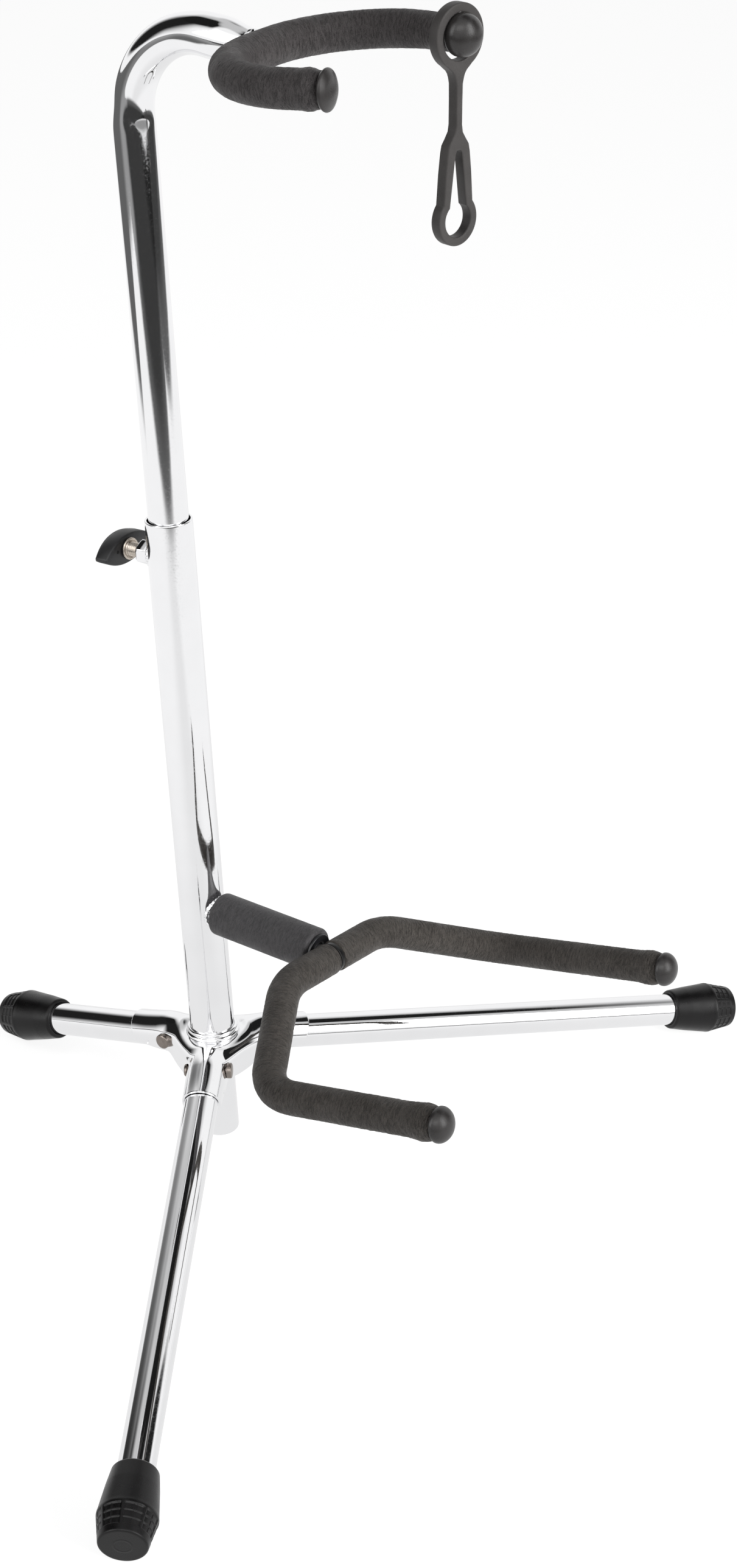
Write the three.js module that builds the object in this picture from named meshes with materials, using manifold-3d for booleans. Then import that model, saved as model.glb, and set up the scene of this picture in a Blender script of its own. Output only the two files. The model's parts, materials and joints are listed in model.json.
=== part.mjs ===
// Guitar stand: a tripod base of folding tube legs, a leaning telescopic post, a padded swivel
// cradle for the body and a padded open yoke with a rubber strap for the neck.
// Millimetres, +Z up, -Y to the front. The origin is the middle of the footprint, on the floor.

import * as THREE from "three";
import { mergeVertices } from "three/addons/utils/BufferGeometryUtils.js";
import Module from "manifold-3d";

const wasm = await Module();
wasm.setup();

// Fits shared by the whole stand
const seatGap = 0.3; // between pieces that touch
const cutOverrun = 2; // how far a cutting tool passes the face that it cuts
const roundSides = 20; // facets of a large tube or turned part
const smallSides = 12; // facets of a thin rod, rivet or screw
const stepAngle = THREE.MathUtils.degToRad(15); // largest turn between two rings of a bend

// Post: lower tube, upper tube with the bent neck, and how they stand
const postLean = THREE.MathUtils.degToRad(6.7);
const lowerDiameter = 25.4;
const lowerWall = 1.2;
const lowerHeight = 310;
const spigotDiameter = 21;
const spigotBelow = 68;
const spigotTaper = 9;
const spigotFloor = 3;
const upperDiameter = 21.5;
const upperWall = 1.5;
const upperStraight = 516.6;
const upperInside = 200;
const neckBendRadius = 44.75;
const neckDrop = THREE.MathUtils.degToRad(8.4);
const neckReach = 32.2;
const neckPlugLength = 16;

// Yoke that holds the guitar's neck
const rodDiameter = 9.5;
const foamDiameter = 18.2;
const foamLip = 1.6;
const yokeHalfBase = 7.65;
const yokeRadius = 50.8;
const yokeSweep = THREE.MathUtils.degToRad(101);
const yokeArmEnd = 16; // the straight end of each arm
const yokeRoll = THREE.MathUtils.degToRad(2.4); // the right arm stands a little higher
const yokeShankLength = 20;
const capDiameter = 19.5;
const capBackDiameter = 17.8;
const capDome = 3.8;
const capNeckDiameter = 13;
const capNeckLength = 0.7;
const capRim = 1.1;
const capSocketDepth = 3.2;

// Rubber strap that closes the yoke
const strapDepth = 6;
const strapRingOuter = 30.8;
const strapRingHole = 22;
const strapLength = 85.5; // ring centre to loop centre
const strapNeckWidth = 4.3;
const strapFlareTop = 45.6; // these drops are below the ring's centre
const strapFlareBottom = 51.2;
const strapFlareWidth = 12.5;
const strapArmsWidth = 19.3;
const strapSlotDrop = 53;
const strapSlotTop = 3.8;
const strapSlotWide = 10.7;
const strapLoopOuter = 25.2;
const strapLoopHole = 16.6;
const strapBack = 4.5; // the ring's middle plane behind the foam's end
const strapLean = THREE.MathUtils.degToRad(4); // out of the vertical

// Clamp that holds the upper tube
const clampDrop = 22; // the screw's axis below the lower tube's rim
const nutFlats = 12;
const nutFace = 20.3;
const nutChamfer = 1.2;
const screwDiameter = 8;
const screwFlangeDiameter = 11.8;
const screwFlangeFace = 29.6;
const screwFlangeThick = 1.4;
const knobThick = 10;
const knobHalfLength = 19.4;
const knobHalfHeight = 7.8;
const knobCrown = 2.2;
const knobTurn = THREE.MathUtils.degToRad(6);
const knobHoleDiameter = 2.6;
const knobHoleOffset = 9.6;
const knobHoleDepth = 4;
const knobSocketDepth = 6;

// Hub bracket with three leg channels
const hubAxisDrop = 5.4; // the leg axes meet the post axis this far below the collar's bead
const hubWall = 1.5;
const collarHeight = 14;
const collarWall = 1.6;
const beadDiameter = 1.9;
const channelEnd = 57; // at the ridge
const cheekEnd = 54; // at the cheeks' lower edge
const channelRoom = 1; // round the leg, so that it can swing
const channelPinch = 7; // length over which the channel's mouth closes in on the leg
const cheekBackDrop = 13; // below the leg's axis, beside the skirt
const cheekDrop = 4.7; // and at the rivet
const cheekEndDrop = 1;
const skirtRadius = 22;
const skirtBottom = 22;
const shoulderTop = 3.5;
const shoulderBottom = 7;

// Legs
const legSpread = THREE.MathUtils.degToRad(59.2); // each front leg to the stand's middle plane
const legDiameter = 19.05;
const legWall = 1.2;
const legDip = THREE.MathUtils.degToRad(12.5); // below the plane across the post
const frontLegRim = 301.6; // post axis to the foot's rim, along the leg
const rearLegRim = 121.7;
const pivotReach = 28.5;
const rivetDiameter = 5;
const rivetHead = 8.8;
const rivetHeadThick = 2;

// Rubber feet
const footLength = 45.9;
const footWide = 29.3;
const footWideAt = 28.6;
const footRim = 23;
const footEnd = 23;
const footBore = 34;
const footEdge = 2.2;
const footFlat = 0.8; // worn flat where each foot stands

// Cradle and its swivel stub
const stubHeight = 79.2;
const stubDrop = THREE.MathUtils.degToRad(3.3);
const stubDiameter = 16;
const stubWall = 1.5;
const stubFoamDiameter = 24.2;
const stubFoamStart = 14.5;
const stubFoamEnd = 80.5;
const stubWeld = 2.4;
const bushLength = 30;
const bushProud = 1.7;
const bushFlangeDiameter = 19;
const cradleReach = 91.9;
const cradleTurn = THREE.MathUtils.degToRad(5.5); // swivelled a little at rest
const cradleRodDiameter = 8;
const cradleFoamDiameter = 17.6;
const cradleHalfBack = 43.2;
const cradleHalfWidth = 108.5;
const cradleCornerReach = 38.7;
const cradleCornerDrop = 23;
const cradleArmReach = 139.5;
const cradleBackBend = 40;
const cradleCornerBend = 27;
const ringThick = 3; // a rubber ring on the rod, over its weld to the shank
const ringDiameter = 16.4;
const cradleCapDiameter = 18.4;
const cradleCapDome = 8.2;
const cradleCapRim = 1.4;
const cradleCapSocket = 6;

// Materials, one for each finish
const finish = {
  chrome: { color: 0xd8dade, roughness: 0.12, metalness: 1 },
  nickel: { color: 0xb9ada0, roughness: 0.3, metalness: 1 },
  steel: { color: 0x8d8f92, roughness: 0.4, metalness: 1 },
  armFoam: { color: 0x3a3632, roughness: 0.85, metalness: 0 },
  yokeFoam: { color: 0x2f2d2c, roughness: 0.8, metalness: 0 },
  stubFoam: { color: 0x2e2e30, roughness: 0.85, metalness: 0 },
  rubber: { color: 0x222224, roughness: 0.6, metalness: 0 },
  plastic: { color: 0x1b1b1e, roughness: 0.4, metalness: 0 },
};

// A closed geometry as a solid that can be joined and cut.
function toSolid(geometry) {
  const bare = new THREE.BufferGeometry();
  bare.setAttribute("position", geometry.getAttribute("position").clone());
  if (geometry.index) bare.setIndex(geometry.index.clone());
  const merged = mergeVertices(bare, 1e-4);
  const kept = [];
  const index = merged.index.array;
  for (let i = 0; i < index.length; i += 3) {
    const [a, b, c] = [index[i], index[i + 1], index[i + 2]];
    if (a !== b && b !== c && c !== a) kept.push(a, b, c);
  }
  const mesh = new wasm.Mesh({
    numProp: 3,
    vertProperties: merged.attributes.position.array,
    triVerts: new Uint32Array(kept),
  });
  return new wasm.Manifold(mesh);
}

// A solid's triangles as a geometry with flat shading left to the material.
function toGeometry(solid) {
  const mesh = solid.getMesh();
  const geometry = new THREE.BufferGeometry();
  geometry.setAttribute("position", new THREE.BufferAttribute(mesh.vertProperties, 3));
  geometry.setIndex(new THREE.BufferAttribute(mesh.triVerts, 1));
  geometry.computeVertexNormals();
  return geometry;
}

function named(name, look, solid, parent) {
  const material = new THREE.MeshStandardMaterial(finish[look]);
  const mesh = new THREE.Mesh(toGeometry(solid), material);
  mesh.name = name;
  parent.add(mesh);
  return mesh;
}

function moved(geometry, x, y, z) {
  return geometry.translate(x, y, z);
}

// A turned solid about +Z, from [radius, height] pairs that start and end on the axis or close.
function turned(profile, sides = roundSides) {
  const points = profile.map(([r, z]) => new THREE.Vector2(r, z));
  return new THREE.LatheGeometry(points, sides).rotateX(Math.PI / 2);
}

// A plain round bar about +Z between two heights.
function bar(radius, low, high, sides = roundSides) {
  return turned([[0, low], [radius, low], [radius, high], [0, high]], sides);
}

// Turns a geometry made about +Z so that it lies along another direction.
function along(geometry, direction) {
  const turn = new THREE.Quaternion();
  turn.setFromUnitVectors(new THREE.Vector3(0, 0, 1), direction.clone().normalize());
  return geometry.applyQuaternion(turn);
}

// A flat outline raised by a depth along +Z.
function raised(shape, depth, curveSegments = 8) {
  return new THREE.ExtrudeGeometry(shape, { depth, bevelEnabled: false, curveSegments });
}

// A rod's centreline: straight runs joined by round bends. One step covers a straight run, and
// each bend takes as many as its angle needs.
class BentPath extends THREE.Curve {
  constructor(stations) {
    super();
    this.stations = stations;
  }
  static through(corners, radii) {
    const stations = [];
    const last = corners.length - 1;
    const startTangent = corners[1].clone().sub(corners[0]).normalize();
    const endTangent = corners[last].clone().sub(corners[last - 1]).normalize();
    stations.push({ point: corners[0].clone(), tangent: startTangent });
    for (let i = 1; i < last; i++) {
      stations.push(...BentPath.bend(corners[i - 1], corners[i], corners[i + 1], radii[i - 1]));
    }
    stations.push({ point: corners[last].clone(), tangent: endTangent });
    return new BentPath(stations);
  }
  static bend(before, corner, after, radius) {
    const from = corner.clone().sub(before).normalize();
    const to = after.clone().sub(corner).normalize();
    const angle = from.angleTo(to);
    const side = to.clone().addScaledVector(from, -to.dot(from)).normalize();
    const start = corner.clone().addScaledVector(from, -radius * Math.tan(angle / 2));
    const count = Math.max(2, Math.ceil(angle / stepAngle));
    const stations = [];
    for (let k = 0; k <= count; k++) {
      const a = (angle * k) / count;
      const point = start.clone().addScaledVector(from, radius * Math.sin(a));
      point.addScaledVector(side, radius * (1 - Math.cos(a)));
      const tangent = from.clone().multiplyScalar(Math.cos(a)).addScaledVector(side, Math.sin(a));
      stations.push({ point, tangent });
    }
    return stations;
  }
  get steps() {
    return this.stations.length - 1;
  }
  blend(t, key, target) {
    const place = t * this.steps;
    const i = Math.min(Math.floor(place + 1e-9), this.steps - 1);
    return target.lerpVectors(this.stations[i][key], this.stations[i + 1][key], place - i);
  }
  getPoint(t, target = new THREE.Vector3()) {
    return this.blend(t, "point", target);
  }
  getTangent(t, target = new THREE.Vector3()) {
    return this.blend(t, "tangent", target).normalize();
  }
  getUtoTmapping(u) {
    return u;
  }
  end() {
    return this.stations[this.steps];
  }
}

// A round tube or rod swept along a bent path.
function swept(path, radius, sides = roundSides) {
  const outline = [];
  for (let k = 0; k < sides; k++) {
    const a = (2 * Math.PI * k) / sides;
    outline.push(new THREE.Vector2(radius * Math.cos(a), radius * Math.sin(a)));
  }
  const options = { steps: path.steps, extrudePath: path, bevelEnabled: false };
  return toSolid(new THREE.ExtrudeGeometry(new THREE.Shape(outline), options));
}

// Short for a point or a direction.
const v = (x, y, z) => new THREE.Vector3(x, y, z);
const forward = v(0, -1, 0);
const backward = v(0, 1, 0);

// The whole stand hangs on one group that leans back with the post. In it the post is the Z axis
// and the collar's bead is at height 0.
const stand = new THREE.Group();
const leaning = new THREE.Group();
leaning.rotation.x = -postLean;
stand.add(leaning);

// Lower post tube: a straight tube whose foot is swaged down into the closed spigot
const lowerRadius = lowerDiameter / 2;
const lowerBore = lowerRadius - lowerWall;
const spigotRadius = spigotDiameter / 2;
const clampHeight = lowerHeight - clampDrop;
const swageTop = -collarHeight;
const swageBottom = swageTop - spigotTaper;

function makeLowerPost() {
  const spigotBore = spigotRadius - lowerWall;
  const tip = spigotFloor;
  const outside = turned([
    [0, -spigotBelow],
    [spigotRadius - tip, -spigotBelow],
    [spigotRadius - tip * 0.3, -spigotBelow + tip * 0.3],
    [spigotRadius, -spigotBelow + tip],
    [spigotRadius, swageBottom],
    [lowerRadius, swageTop],
    [lowerRadius, lowerHeight - lowerWall / 2],
    [lowerRadius - lowerWall / 2, lowerHeight],
    [0, lowerHeight],
  ]);
  const inside = turned([
    [0, -spigotBelow + tip],
    [spigotBore, -spigotBelow + tip],
    [spigotBore, swageBottom],
    [lowerBore, swageTop],
    [lowerBore, lowerHeight + cutOverrun],
    [0, lowerHeight + cutOverrun],
  ]);
  const screwHole = along(bar(screwDiameter / 2 + seatGap, 0, nutFace, smallSides), backward);
  moved(screwHole, 0, 0, clampHeight);
  const tube = toSolid(outside).subtract(toSolid(inside)).subtract(toSolid(screwHole));
  named("lower_post_tube", "chrome", tube, leaning);
}
makeLowerPost();

// Clamp: a nut welded on the back of the lower tube, a screw and its wing-shaped knob
const screwRadius = screwDiameter / 2;
const upperRadius = upperDiameter / 2;
const screwTip = upperRadius + seatGap;
const knobFace = screwFlangeFace + seatGap;

function hexagon(flats) {
  const corner = flats / Math.sqrt(3);
  const points = [];
  for (let k = 0; k < 6; k++) {
    const a = (k * Math.PI) / 3;
    points.push(new THREE.Vector2(corner * Math.cos(a), corner * Math.sin(a)));
  }
  return new THREE.Shape(points);
}

function makeClampNut() {
  const inner = Math.sqrt(lowerRadius ** 2 - (nutFlats / 2) ** 2) - cutOverrun;
  const corner = nutFlats / Math.sqrt(3);
  const body = toSolid(moved(raised(hexagon(nutFlats), nutFace - inner), 0, 0, inner));
  const chamfer = toSolid(turned([
    [0, inner - cutOverrun],
    [corner + cutOverrun, inner - cutOverrun],
    [corner + cutOverrun, nutFace - cutOverrun - nutChamfer],
    [corner - nutChamfer, nutFace],
    [0, nutFace],
  ]));
  const hole = bar(screwRadius + seatGap, inner - cutOverrun, nutFace + cutOverrun, smallSides);
  const nut = turnBack(body.intersect(chamfer).subtract(toSolid(hole)));
  const post = toSolid(bar(lowerRadius + seatGap, 0, lowerHeight));
  named("clamp_nut", "chrome", nut.subtract(post), leaning);
}

// Lays a solid made about +Z along the clamp's axis, at the clamp's height.
function turnBack(solid) {
  return solid.rotate([-90, 0, 0]).translate([0, 0, clampHeight]);
}

function makeClampScrew() {
  const flange = screwFlangeDiameter / 2;
  const thread = turned([
    [0, screwTip],
    [screwRadius * 0.7, screwTip],
    [screwRadius, screwTip + screwRadius * 0.3],
    [screwRadius, screwFlangeFace - screwFlangeThick],
    [flange, screwFlangeFace - screwFlangeThick],
    [flange, screwFlangeFace],
    [screwRadius, screwFlangeFace],
    [screwRadius, knobFace + knobSocketDepth - seatGap],
    [0, knobFace + knobSocketDepth - seatGap],
  ], smallSides);
  named("clamp_screw", "nickel", turnBack(toSolid(thread)), leaning);
}

// An eye-shaped outline: two arcs that meet at rounded tips.
function eyeShape(halfLength, halfHeight) {
  const radius = (halfLength ** 2 + halfHeight ** 2) / (2 * halfHeight);
  const half = Math.asin(halfLength / radius);
  const points = [];
  const count = 9;
  for (const side of [1, -1]) {
    for (let k = 0; k < count; k++) {
      const a = (half * 0.93 * (2 * k)) / (count - 1) - half * 0.93;
      const x = -side * radius * Math.sin(a);
      const y = side * (radius * Math.cos(a) - radius + halfHeight);
      points.push(new THREE.Vector2(x, y));
    }
  }
  return new THREE.Shape(points);
}

// The knob's low crown: a turned shape that the eye outline is cut from.
function knobCrownSolid() {
  const reach = knobHalfLength + cutOverrun;
  const top = knobFace + knobThick;
  const profile = [[0, knobFace], [reach, knobFace]];
  const rings = 5;
  for (let k = rings; k >= 0; k--) {
    const share = k / rings;
    profile.push([reach * share, top - knobCrown * share ** 2]);
  }
  return toSolid(turned(profile));
}

function makeClampKnob() {
  const eye = raised(eyeShape(knobHalfLength, knobHalfHeight), knobThick + cutOverrun);
  const body = toSolid(moved(eye, 0, 0, knobFace - cutOverrun / 2));
  const low = knobFace - cutOverrun;
  const socket = bar(screwRadius + seatGap, low, knobFace + knobSocketDepth, smallSides);
  const hole = bar(knobHoleDiameter / 2, low, knobFace + knobHoleDepth, smallSides / 2);
  moved(hole, knobHoleOffset, 0, 0);
  const knob = body.intersect(knobCrownSolid()).subtract(toSolid(socket)).subtract(toSolid(hole));
  const turn = THREE.MathUtils.radToDeg(knobTurn);
  named("clamp_knob", "plastic", turnBack(knob.rotate([0, 0, 180 - turn])), leaning);
}

makeClampNut();
makeClampScrew();
makeClampKnob();

// Upper post tube: slides in the lower tube and bends over into the neck
const upperFoot = lowerHeight - upperInside;
const neckForward = forward.clone().applyAxisAngle(v(1, 0, 0), neckDrop);
const neckAngle = neckForward.angleTo(v(0, 0, 1));
const neckCorner = v(0, 0, upperStraight + neckBendRadius * Math.tan(neckAngle / 2));
const neckRun = neckBendRadius * Math.tan(neckAngle / 2) + neckReach;
const yokeCentre = neckCorner.clone().addScaledVector(neckForward, neckRun);
const foamRadius = foamDiameter / 2;
const rodRadius = rodDiameter / 2;

function neckPath(low, shortBy) {
  const end = yokeCentre.clone().addScaledVector(neckForward, -shortBy);
  return BentPath.through([v(0, 0, low), neckCorner, end], [neckBendRadius]);
}

function makeUpperPost() {
  const outside = swept(neckPath(upperFoot, foamRadius / 2), upperRadius);
  const plug = foamRadius + neckPlugLength;
  const inside = swept(neckPath(upperFoot - cutOverrun, plug), upperRadius - upperWall);
  const hole = bar(rodRadius + seatGap, -yokeShankLength - seatGap, cutOverrun, smallSides);
  const shankHole = placed(toSolid(hole), yokeCentre, neckForward);
  const tube = outside.subtract(inside).subtract(shankHole).subtract(yokeFoamBody(seatGap));
  named("upper_post_tube", "chrome", tube, leaning);
}

// Yoke: a round open hoop, its rod, its foam sleeve and the two end caps
const yokeRight = v(1, 0, 0).applyAxisAngle(forward, yokeRoll);

// One arm of the hoop from its middle to its end, which is made longer by a length.
function yokeStations(side, longer) {
  const stations = [];
  const count = Math.ceil(yokeSweep / stepAngle);
  const right = yokeRight.clone().multiplyScalar(side);
  for (let k = 0; k <= count; k++) {
    const a = (yokeSweep * k) / count;
    const point = yokeCentre.clone().addScaledVector(right, yokeHalfBase + yokeRadius * Math.sin(a));
    point.addScaledVector(forward, yokeRadius * (1 - Math.cos(a)));
    const tangent = right.clone().multiplyScalar(Math.cos(a)).addScaledVector(forward, Math.sin(a));
    stations.push({ point, tangent });
  }
  const { point, tangent } = stations[count];
  const end = point.clone().addScaledVector(tangent, yokeArmEnd + longer);
  stations.push({ point: end, tangent: tangent.clone() });
  return stations;
}

// The whole hoop from one end to the other, each end made longer by a length.
function yokePath(longer) {
  const near = yokeStations(-1, longer).reverse();
  for (const station of near) station.tangent.negate();
  return new BentPath([...near, ...yokeStations(1, longer)]);
}

function yokeFoamBody(gap) {
  return swept(yokePath(-foamLip), foamRadius + gap);
}

// A rounded lip for a foam end, about +Z with its outer edge at height 0.
function foamLipSolid(radius) {
  return toSolid(turned([
    [0, -foamLip * 1.5],
    [radius, -foamLip * 1.5],
    [radius, -foamLip],
    [radius - foamLip * 0.3, -foamLip * 0.3],
    [radius - foamLip, 0],
    [0, 0],
  ]));
}

// Puts a solid made about +Z at a point, along a direction.
function placed(solid, point, direction) {
  const turn = new THREE.Quaternion().setFromUnitVectors(v(0, 0, 1), direction.clone().normalize());
  const matrix = new THREE.Matrix4().compose(point, turn, v(1, 1, 1));
  return solid.transform(matrix.elements);
}

function makeYoke() {
  const ends = yokePath(0);
  const [first, last] = [ends.stations[0], ends.end()];
  const outFirst = first.tangent.clone().negate();
  const rodLonger = capSocketDepth - seatGap;
  const shankBar = toSolid(bar(rodRadius, -yokeShankLength, 0, smallSides));
  const shank = placed(shankBar, yokeCentre, neckForward);
  const rod = swept(yokePath(rodLonger), rodRadius, smallSides).add(shank);
  named("yoke_rod", "steel", rod, leaning);
  const lips = [placed(foamLipSolid(foamRadius), first.point, outFirst)];
  lips.push(placed(foamLipSolid(foamRadius), last.point, last.tangent));
  const bore = swept(yokePath(cutOverrun), rodRadius + seatGap, smallSides);
  const shankHole = bar(rodRadius + seatGap, -foamRadius - cutOverrun, 0, smallSides);
  const hole = placed(toSolid(shankHole), yokeCentre, neckForward);
  const foam = yokeFoamBody(0).add(lips[0]).add(lips[1]).subtract(bore).subtract(hole);
  named("yoke_foam", "yokeFoam", foam, leaning);
  named("yoke_cap_left", "rubber", placed(capSolid(yokeCap), first.point, outFirst), leaning);
  named("yoke_cap_right", "rubber", placed(capSolid(yokeCap), last.point, last.tangent), leaning);
}

// A rubber cap about +Z: a neck against the foam, a rim that widens and a dome, with a blind hole
// for the rod.
const yokeCap = {
  radius: capDiameter / 2,
  backRadius: capBackDiameter / 2,
  neckRadius: capNeckDiameter / 2,
  neck: capNeckLength,
  rim: capRim,
  dome: capDome,
  hole: rodRadius + seatGap,
  socket: capSocketDepth,
};

function capSolid(cap) {
  const profile = [[0, seatGap], [cap.neckRadius, seatGap], [cap.neckRadius, cap.neck]];
  profile.push([cap.backRadius, cap.neck]);
  const ball = (cap.radius ** 2 + cap.dome ** 2) / (2 * cap.dome);
  const half = Math.acos((ball - cap.dome) / ball);
  const steps = 5;
  for (let k = steps; k >= 0; k--) {
    const a = (half * k) / steps;
    const height = cap.neck + cap.rim + cap.dome - ball * (1 - Math.cos(a));
    profile.push([k === 0 ? 0 : ball * Math.sin(a), height]);
  }
  const hole = bar(cap.hole, -cutOverrun, cap.socket, smallSides);
  return toSolid(turned(profile)).subtract(toSolid(hole));
}

makeUpperPost();
makeYoke();

// Strap: a ring round the right arm's foam, a slim neck, and a keyhole loop that hangs down
function strapShape() {
  const ring = strapRingOuter / 2;
  const loop = strapLoopOuter / 2;
  const half = strapNeckWidth / 2;
  const flare = strapFlareWidth / 2;
  const arms = strapArmsWidth / 2;
  const ringJoin = Math.asin(half / ring);
  const loopJoin = Math.asin(arms / loop);
  const shape = new THREE.Shape();
  shape.absarc(0, 0, ring, -Math.PI / 2 + ringJoin, (3 * Math.PI) / 2 - ringJoin, false);
  shape.lineTo(-half, -strapFlareTop);
  shape.lineTo(-flare, -strapFlareBottom);
  shape.absarc(0, -strapLength, loop, Math.PI / 2 + loopJoin, (5 * Math.PI) / 2 - loopJoin, false);
  shape.lineTo(flare, -strapFlareBottom);
  shape.lineTo(half, -strapFlareTop);
  shape.closePath();
  return shape;
}

function strapHoles() {
  const hole = strapLoopHole / 2;
  const narrow = strapSlotTop / 2;
  const join = Math.asin(strapSlotWide / 2 / hole);
  const slot = new THREE.Path();
  slot.absarc(0, -strapLength, hole, Math.PI / 2 + join, (5 * Math.PI) / 2 - join, false);
  slot.lineTo(narrow, -strapSlotDrop);
  slot.lineTo(-narrow, -strapSlotDrop);
  slot.closePath();
  return [new THREE.Path().absarc(0, 0, strapRingHole / 2, 0, 2 * Math.PI, false), slot];
}

// The strap hangs from the top of the right arm's foam, leaning a little out of the vertical.
function makeStrap() {
  const end = yokePath(0).end();
  const shape = strapShape();
  shape.holes = strapHoles();
  const strap = toSolid(moved(raised(shape, strapDepth), 0, 0, -strapDepth / 2));
  const up = v(0, 0, 1).applyAxisAngle(v(1, 0, 0), postLean);
  const axis = end.tangent.clone().addScaledVector(up, -end.tangent.dot(up)).normalize();
  const across = up.clone().cross(axis);
  up.applyAxisAngle(across, -strapLean);
  axis.applyAxisAngle(across, -strapLean);
  const slope = axis.angleTo(end.tangent);
  const foamTop = foamRadius / Math.cos(slope) + (strapDepth / 2) * Math.tan(slope);
  const sag = strapRingHole / 2 - foamTop - seatGap;
  const centre = end.point.clone().addScaledVector(end.tangent, -strapBack);
  centre.addScaledVector(up, -sag);
  const matrix = new THREE.Matrix4().makeBasis(across, up, axis).setPosition(centre);
  named("retaining_strap", "rubber", strap.transform(matrix.elements), leaning);
}
makeStrap();

// Hub bracket: a collar with a bead on the post, and three inverted channels for the legs
const legRadius = legDiameter / 2;
const channelInner = legRadius + channelRoom;
const channelOuter = channelInner + hubWall;
const front = -Math.PI / 2;
const legTurns = { rear: -front, left: front - legSpread, right: front + legSpread };

// A leg's own frame: X outwards along the leg, Z up across it, origin on the post axis.
function legMatrix(turn) {
  const outward = v(Math.cos(turn), Math.sin(turn), 0);
  const sideways = v(-Math.sin(turn), Math.cos(turn), 0);
  const axis = outward.clone().multiplyScalar(Math.cos(legDip)).add(v(0, 0, -Math.sin(legDip)));
  const across = axis.clone().cross(sideways);
  return new THREE.Matrix4().makeBasis(axis, sideways, across).setPosition(0, 0, -hubAxisDrop);
}

// An arch raised along the leg: a half round top on straight sides. Its ends are pinched in.
function archSolid(radius, drop, from, to) {
  const pinch = channelRoom - seatGap;
  const shape = new THREE.Shape();
  shape.moveTo(-radius, -drop);
  shape.lineTo(radius, -drop);
  shape.absarc(0, 0, radius, 0, Math.PI, false);
  shape.closePath();
  const options = { depth: to - from - channelPinch * 2, curveSegments: 9 };
  options.bevelThickness = channelPinch;
  options.bevelSize = pinch;
  options.bevelOffset = -pinch;
  options.bevelSegments = 1;
  const geometry = new THREE.ExtrudeGeometry(shape, options);
  geometry.rotateX(Math.PI / 2).rotateZ(Math.PI / 2);
  return toSolid(moved(geometry, from + channelPinch, 0, 0));
}

// What a channel keeps, seen from its side: a slanted mouth, and cheeks that are deep beside the
// skirt and shallow at the mouth.
function cheekSolid(from) {
  const shape = new THREE.Shape();
  shape.moveTo(from, -cheekBackDrop);
  shape.lineTo(skirtRadius - hubWall, -cheekBackDrop);
  shape.lineTo(skirtRadius + hubWall, -cheekDrop * 1.4);
  shape.lineTo(pivotReach + rivetHead / 2, -cheekDrop);
  shape.lineTo(cheekEnd, -cheekEndDrop);
  shape.lineTo(channelEnd, channelOuter);
  shape.lineTo(from, channelOuter);
  shape.closePath();
  const side = raised(shape, legDiameter * 2).rotateX(Math.PI / 2);
  return toSolid(moved(side, 0, legDiameter, 0));
}

// The collar, its shoulder and the skirt between the channels, about the post.
function hubBodySolid() {
  const collarRadius = lowerRadius + seatGap + collarWall;
  const bead = beadDiameter / 2;
  const rim = skirtRadius - hubWall;
  const outside = turned([
    [0, -skirtBottom],
    [skirtRadius, -skirtBottom],
    [skirtRadius, -shoulderBottom],
    [collarRadius + hubWall, -shoulderTop],
    [collarRadius, -bead],
    [collarRadius + bead * 0.8, 0],
    [collarRadius, bead],
    [0, bead],
  ], roundSides * 1.5);
  const inside = turned([
    [0, -skirtBottom - cutOverrun],
    [rim, -skirtBottom - cutOverrun],
    [rim, -shoulderBottom - hubWall],
    [lowerRadius, -shoulderTop - hubWall * 2],
    [0, -shoulderTop - hubWall * 2],
  ], roundSides * 1.5);
  return toSolid(outside).subtract(toSolid(inside));
}

// The room for a leg: its arch is full size at the back and pinched in at the mouth.
function slotSolid(back) {
  const far = channelEnd + cutOverrun;
  const arch = archSolid(channelInner, spigotBelow, back - channelPinch * 2, far);
  const size = spigotBelow * 4;
  const keep = new THREE.BoxGeometry(size, size, size).translate(back + size / 2, 0, 0);
  return arch.intersect(toSolid(keep));
}

function makeHub() {
  let hub = hubBodySolid();
  const cuts = [toSolid(bar(lowerRadius + seatGap, -spigotBelow, lowerHeight))];
  const pinHole = along(bar(rivetDiameter / 2 + seatGap, -footWide, footWide, smallSides), backward);
  const pin = toSolid(moved(pinHole, pivotReach, 0, 0));
  const outer = archSolid(channelOuter, legDiameter, -channelPinch, channelEnd);
  const channel = outer.intersect(cheekSolid(lowerRadius));
  const slot = slotSolid(pivotReach - channelInner);
  for (const turn of Object.values(legTurns)) {
    const matrix = legMatrix(turn).elements;
    hub = hub.add(channel.transform(matrix));
    cuts.push(slot.transform(matrix), pin.transform(matrix));
  }
  for (const cut of cuts) hub = hub.subtract(cut);
  named("hub_bracket", "chrome", hub, leaning);
}
makeHub();

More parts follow.
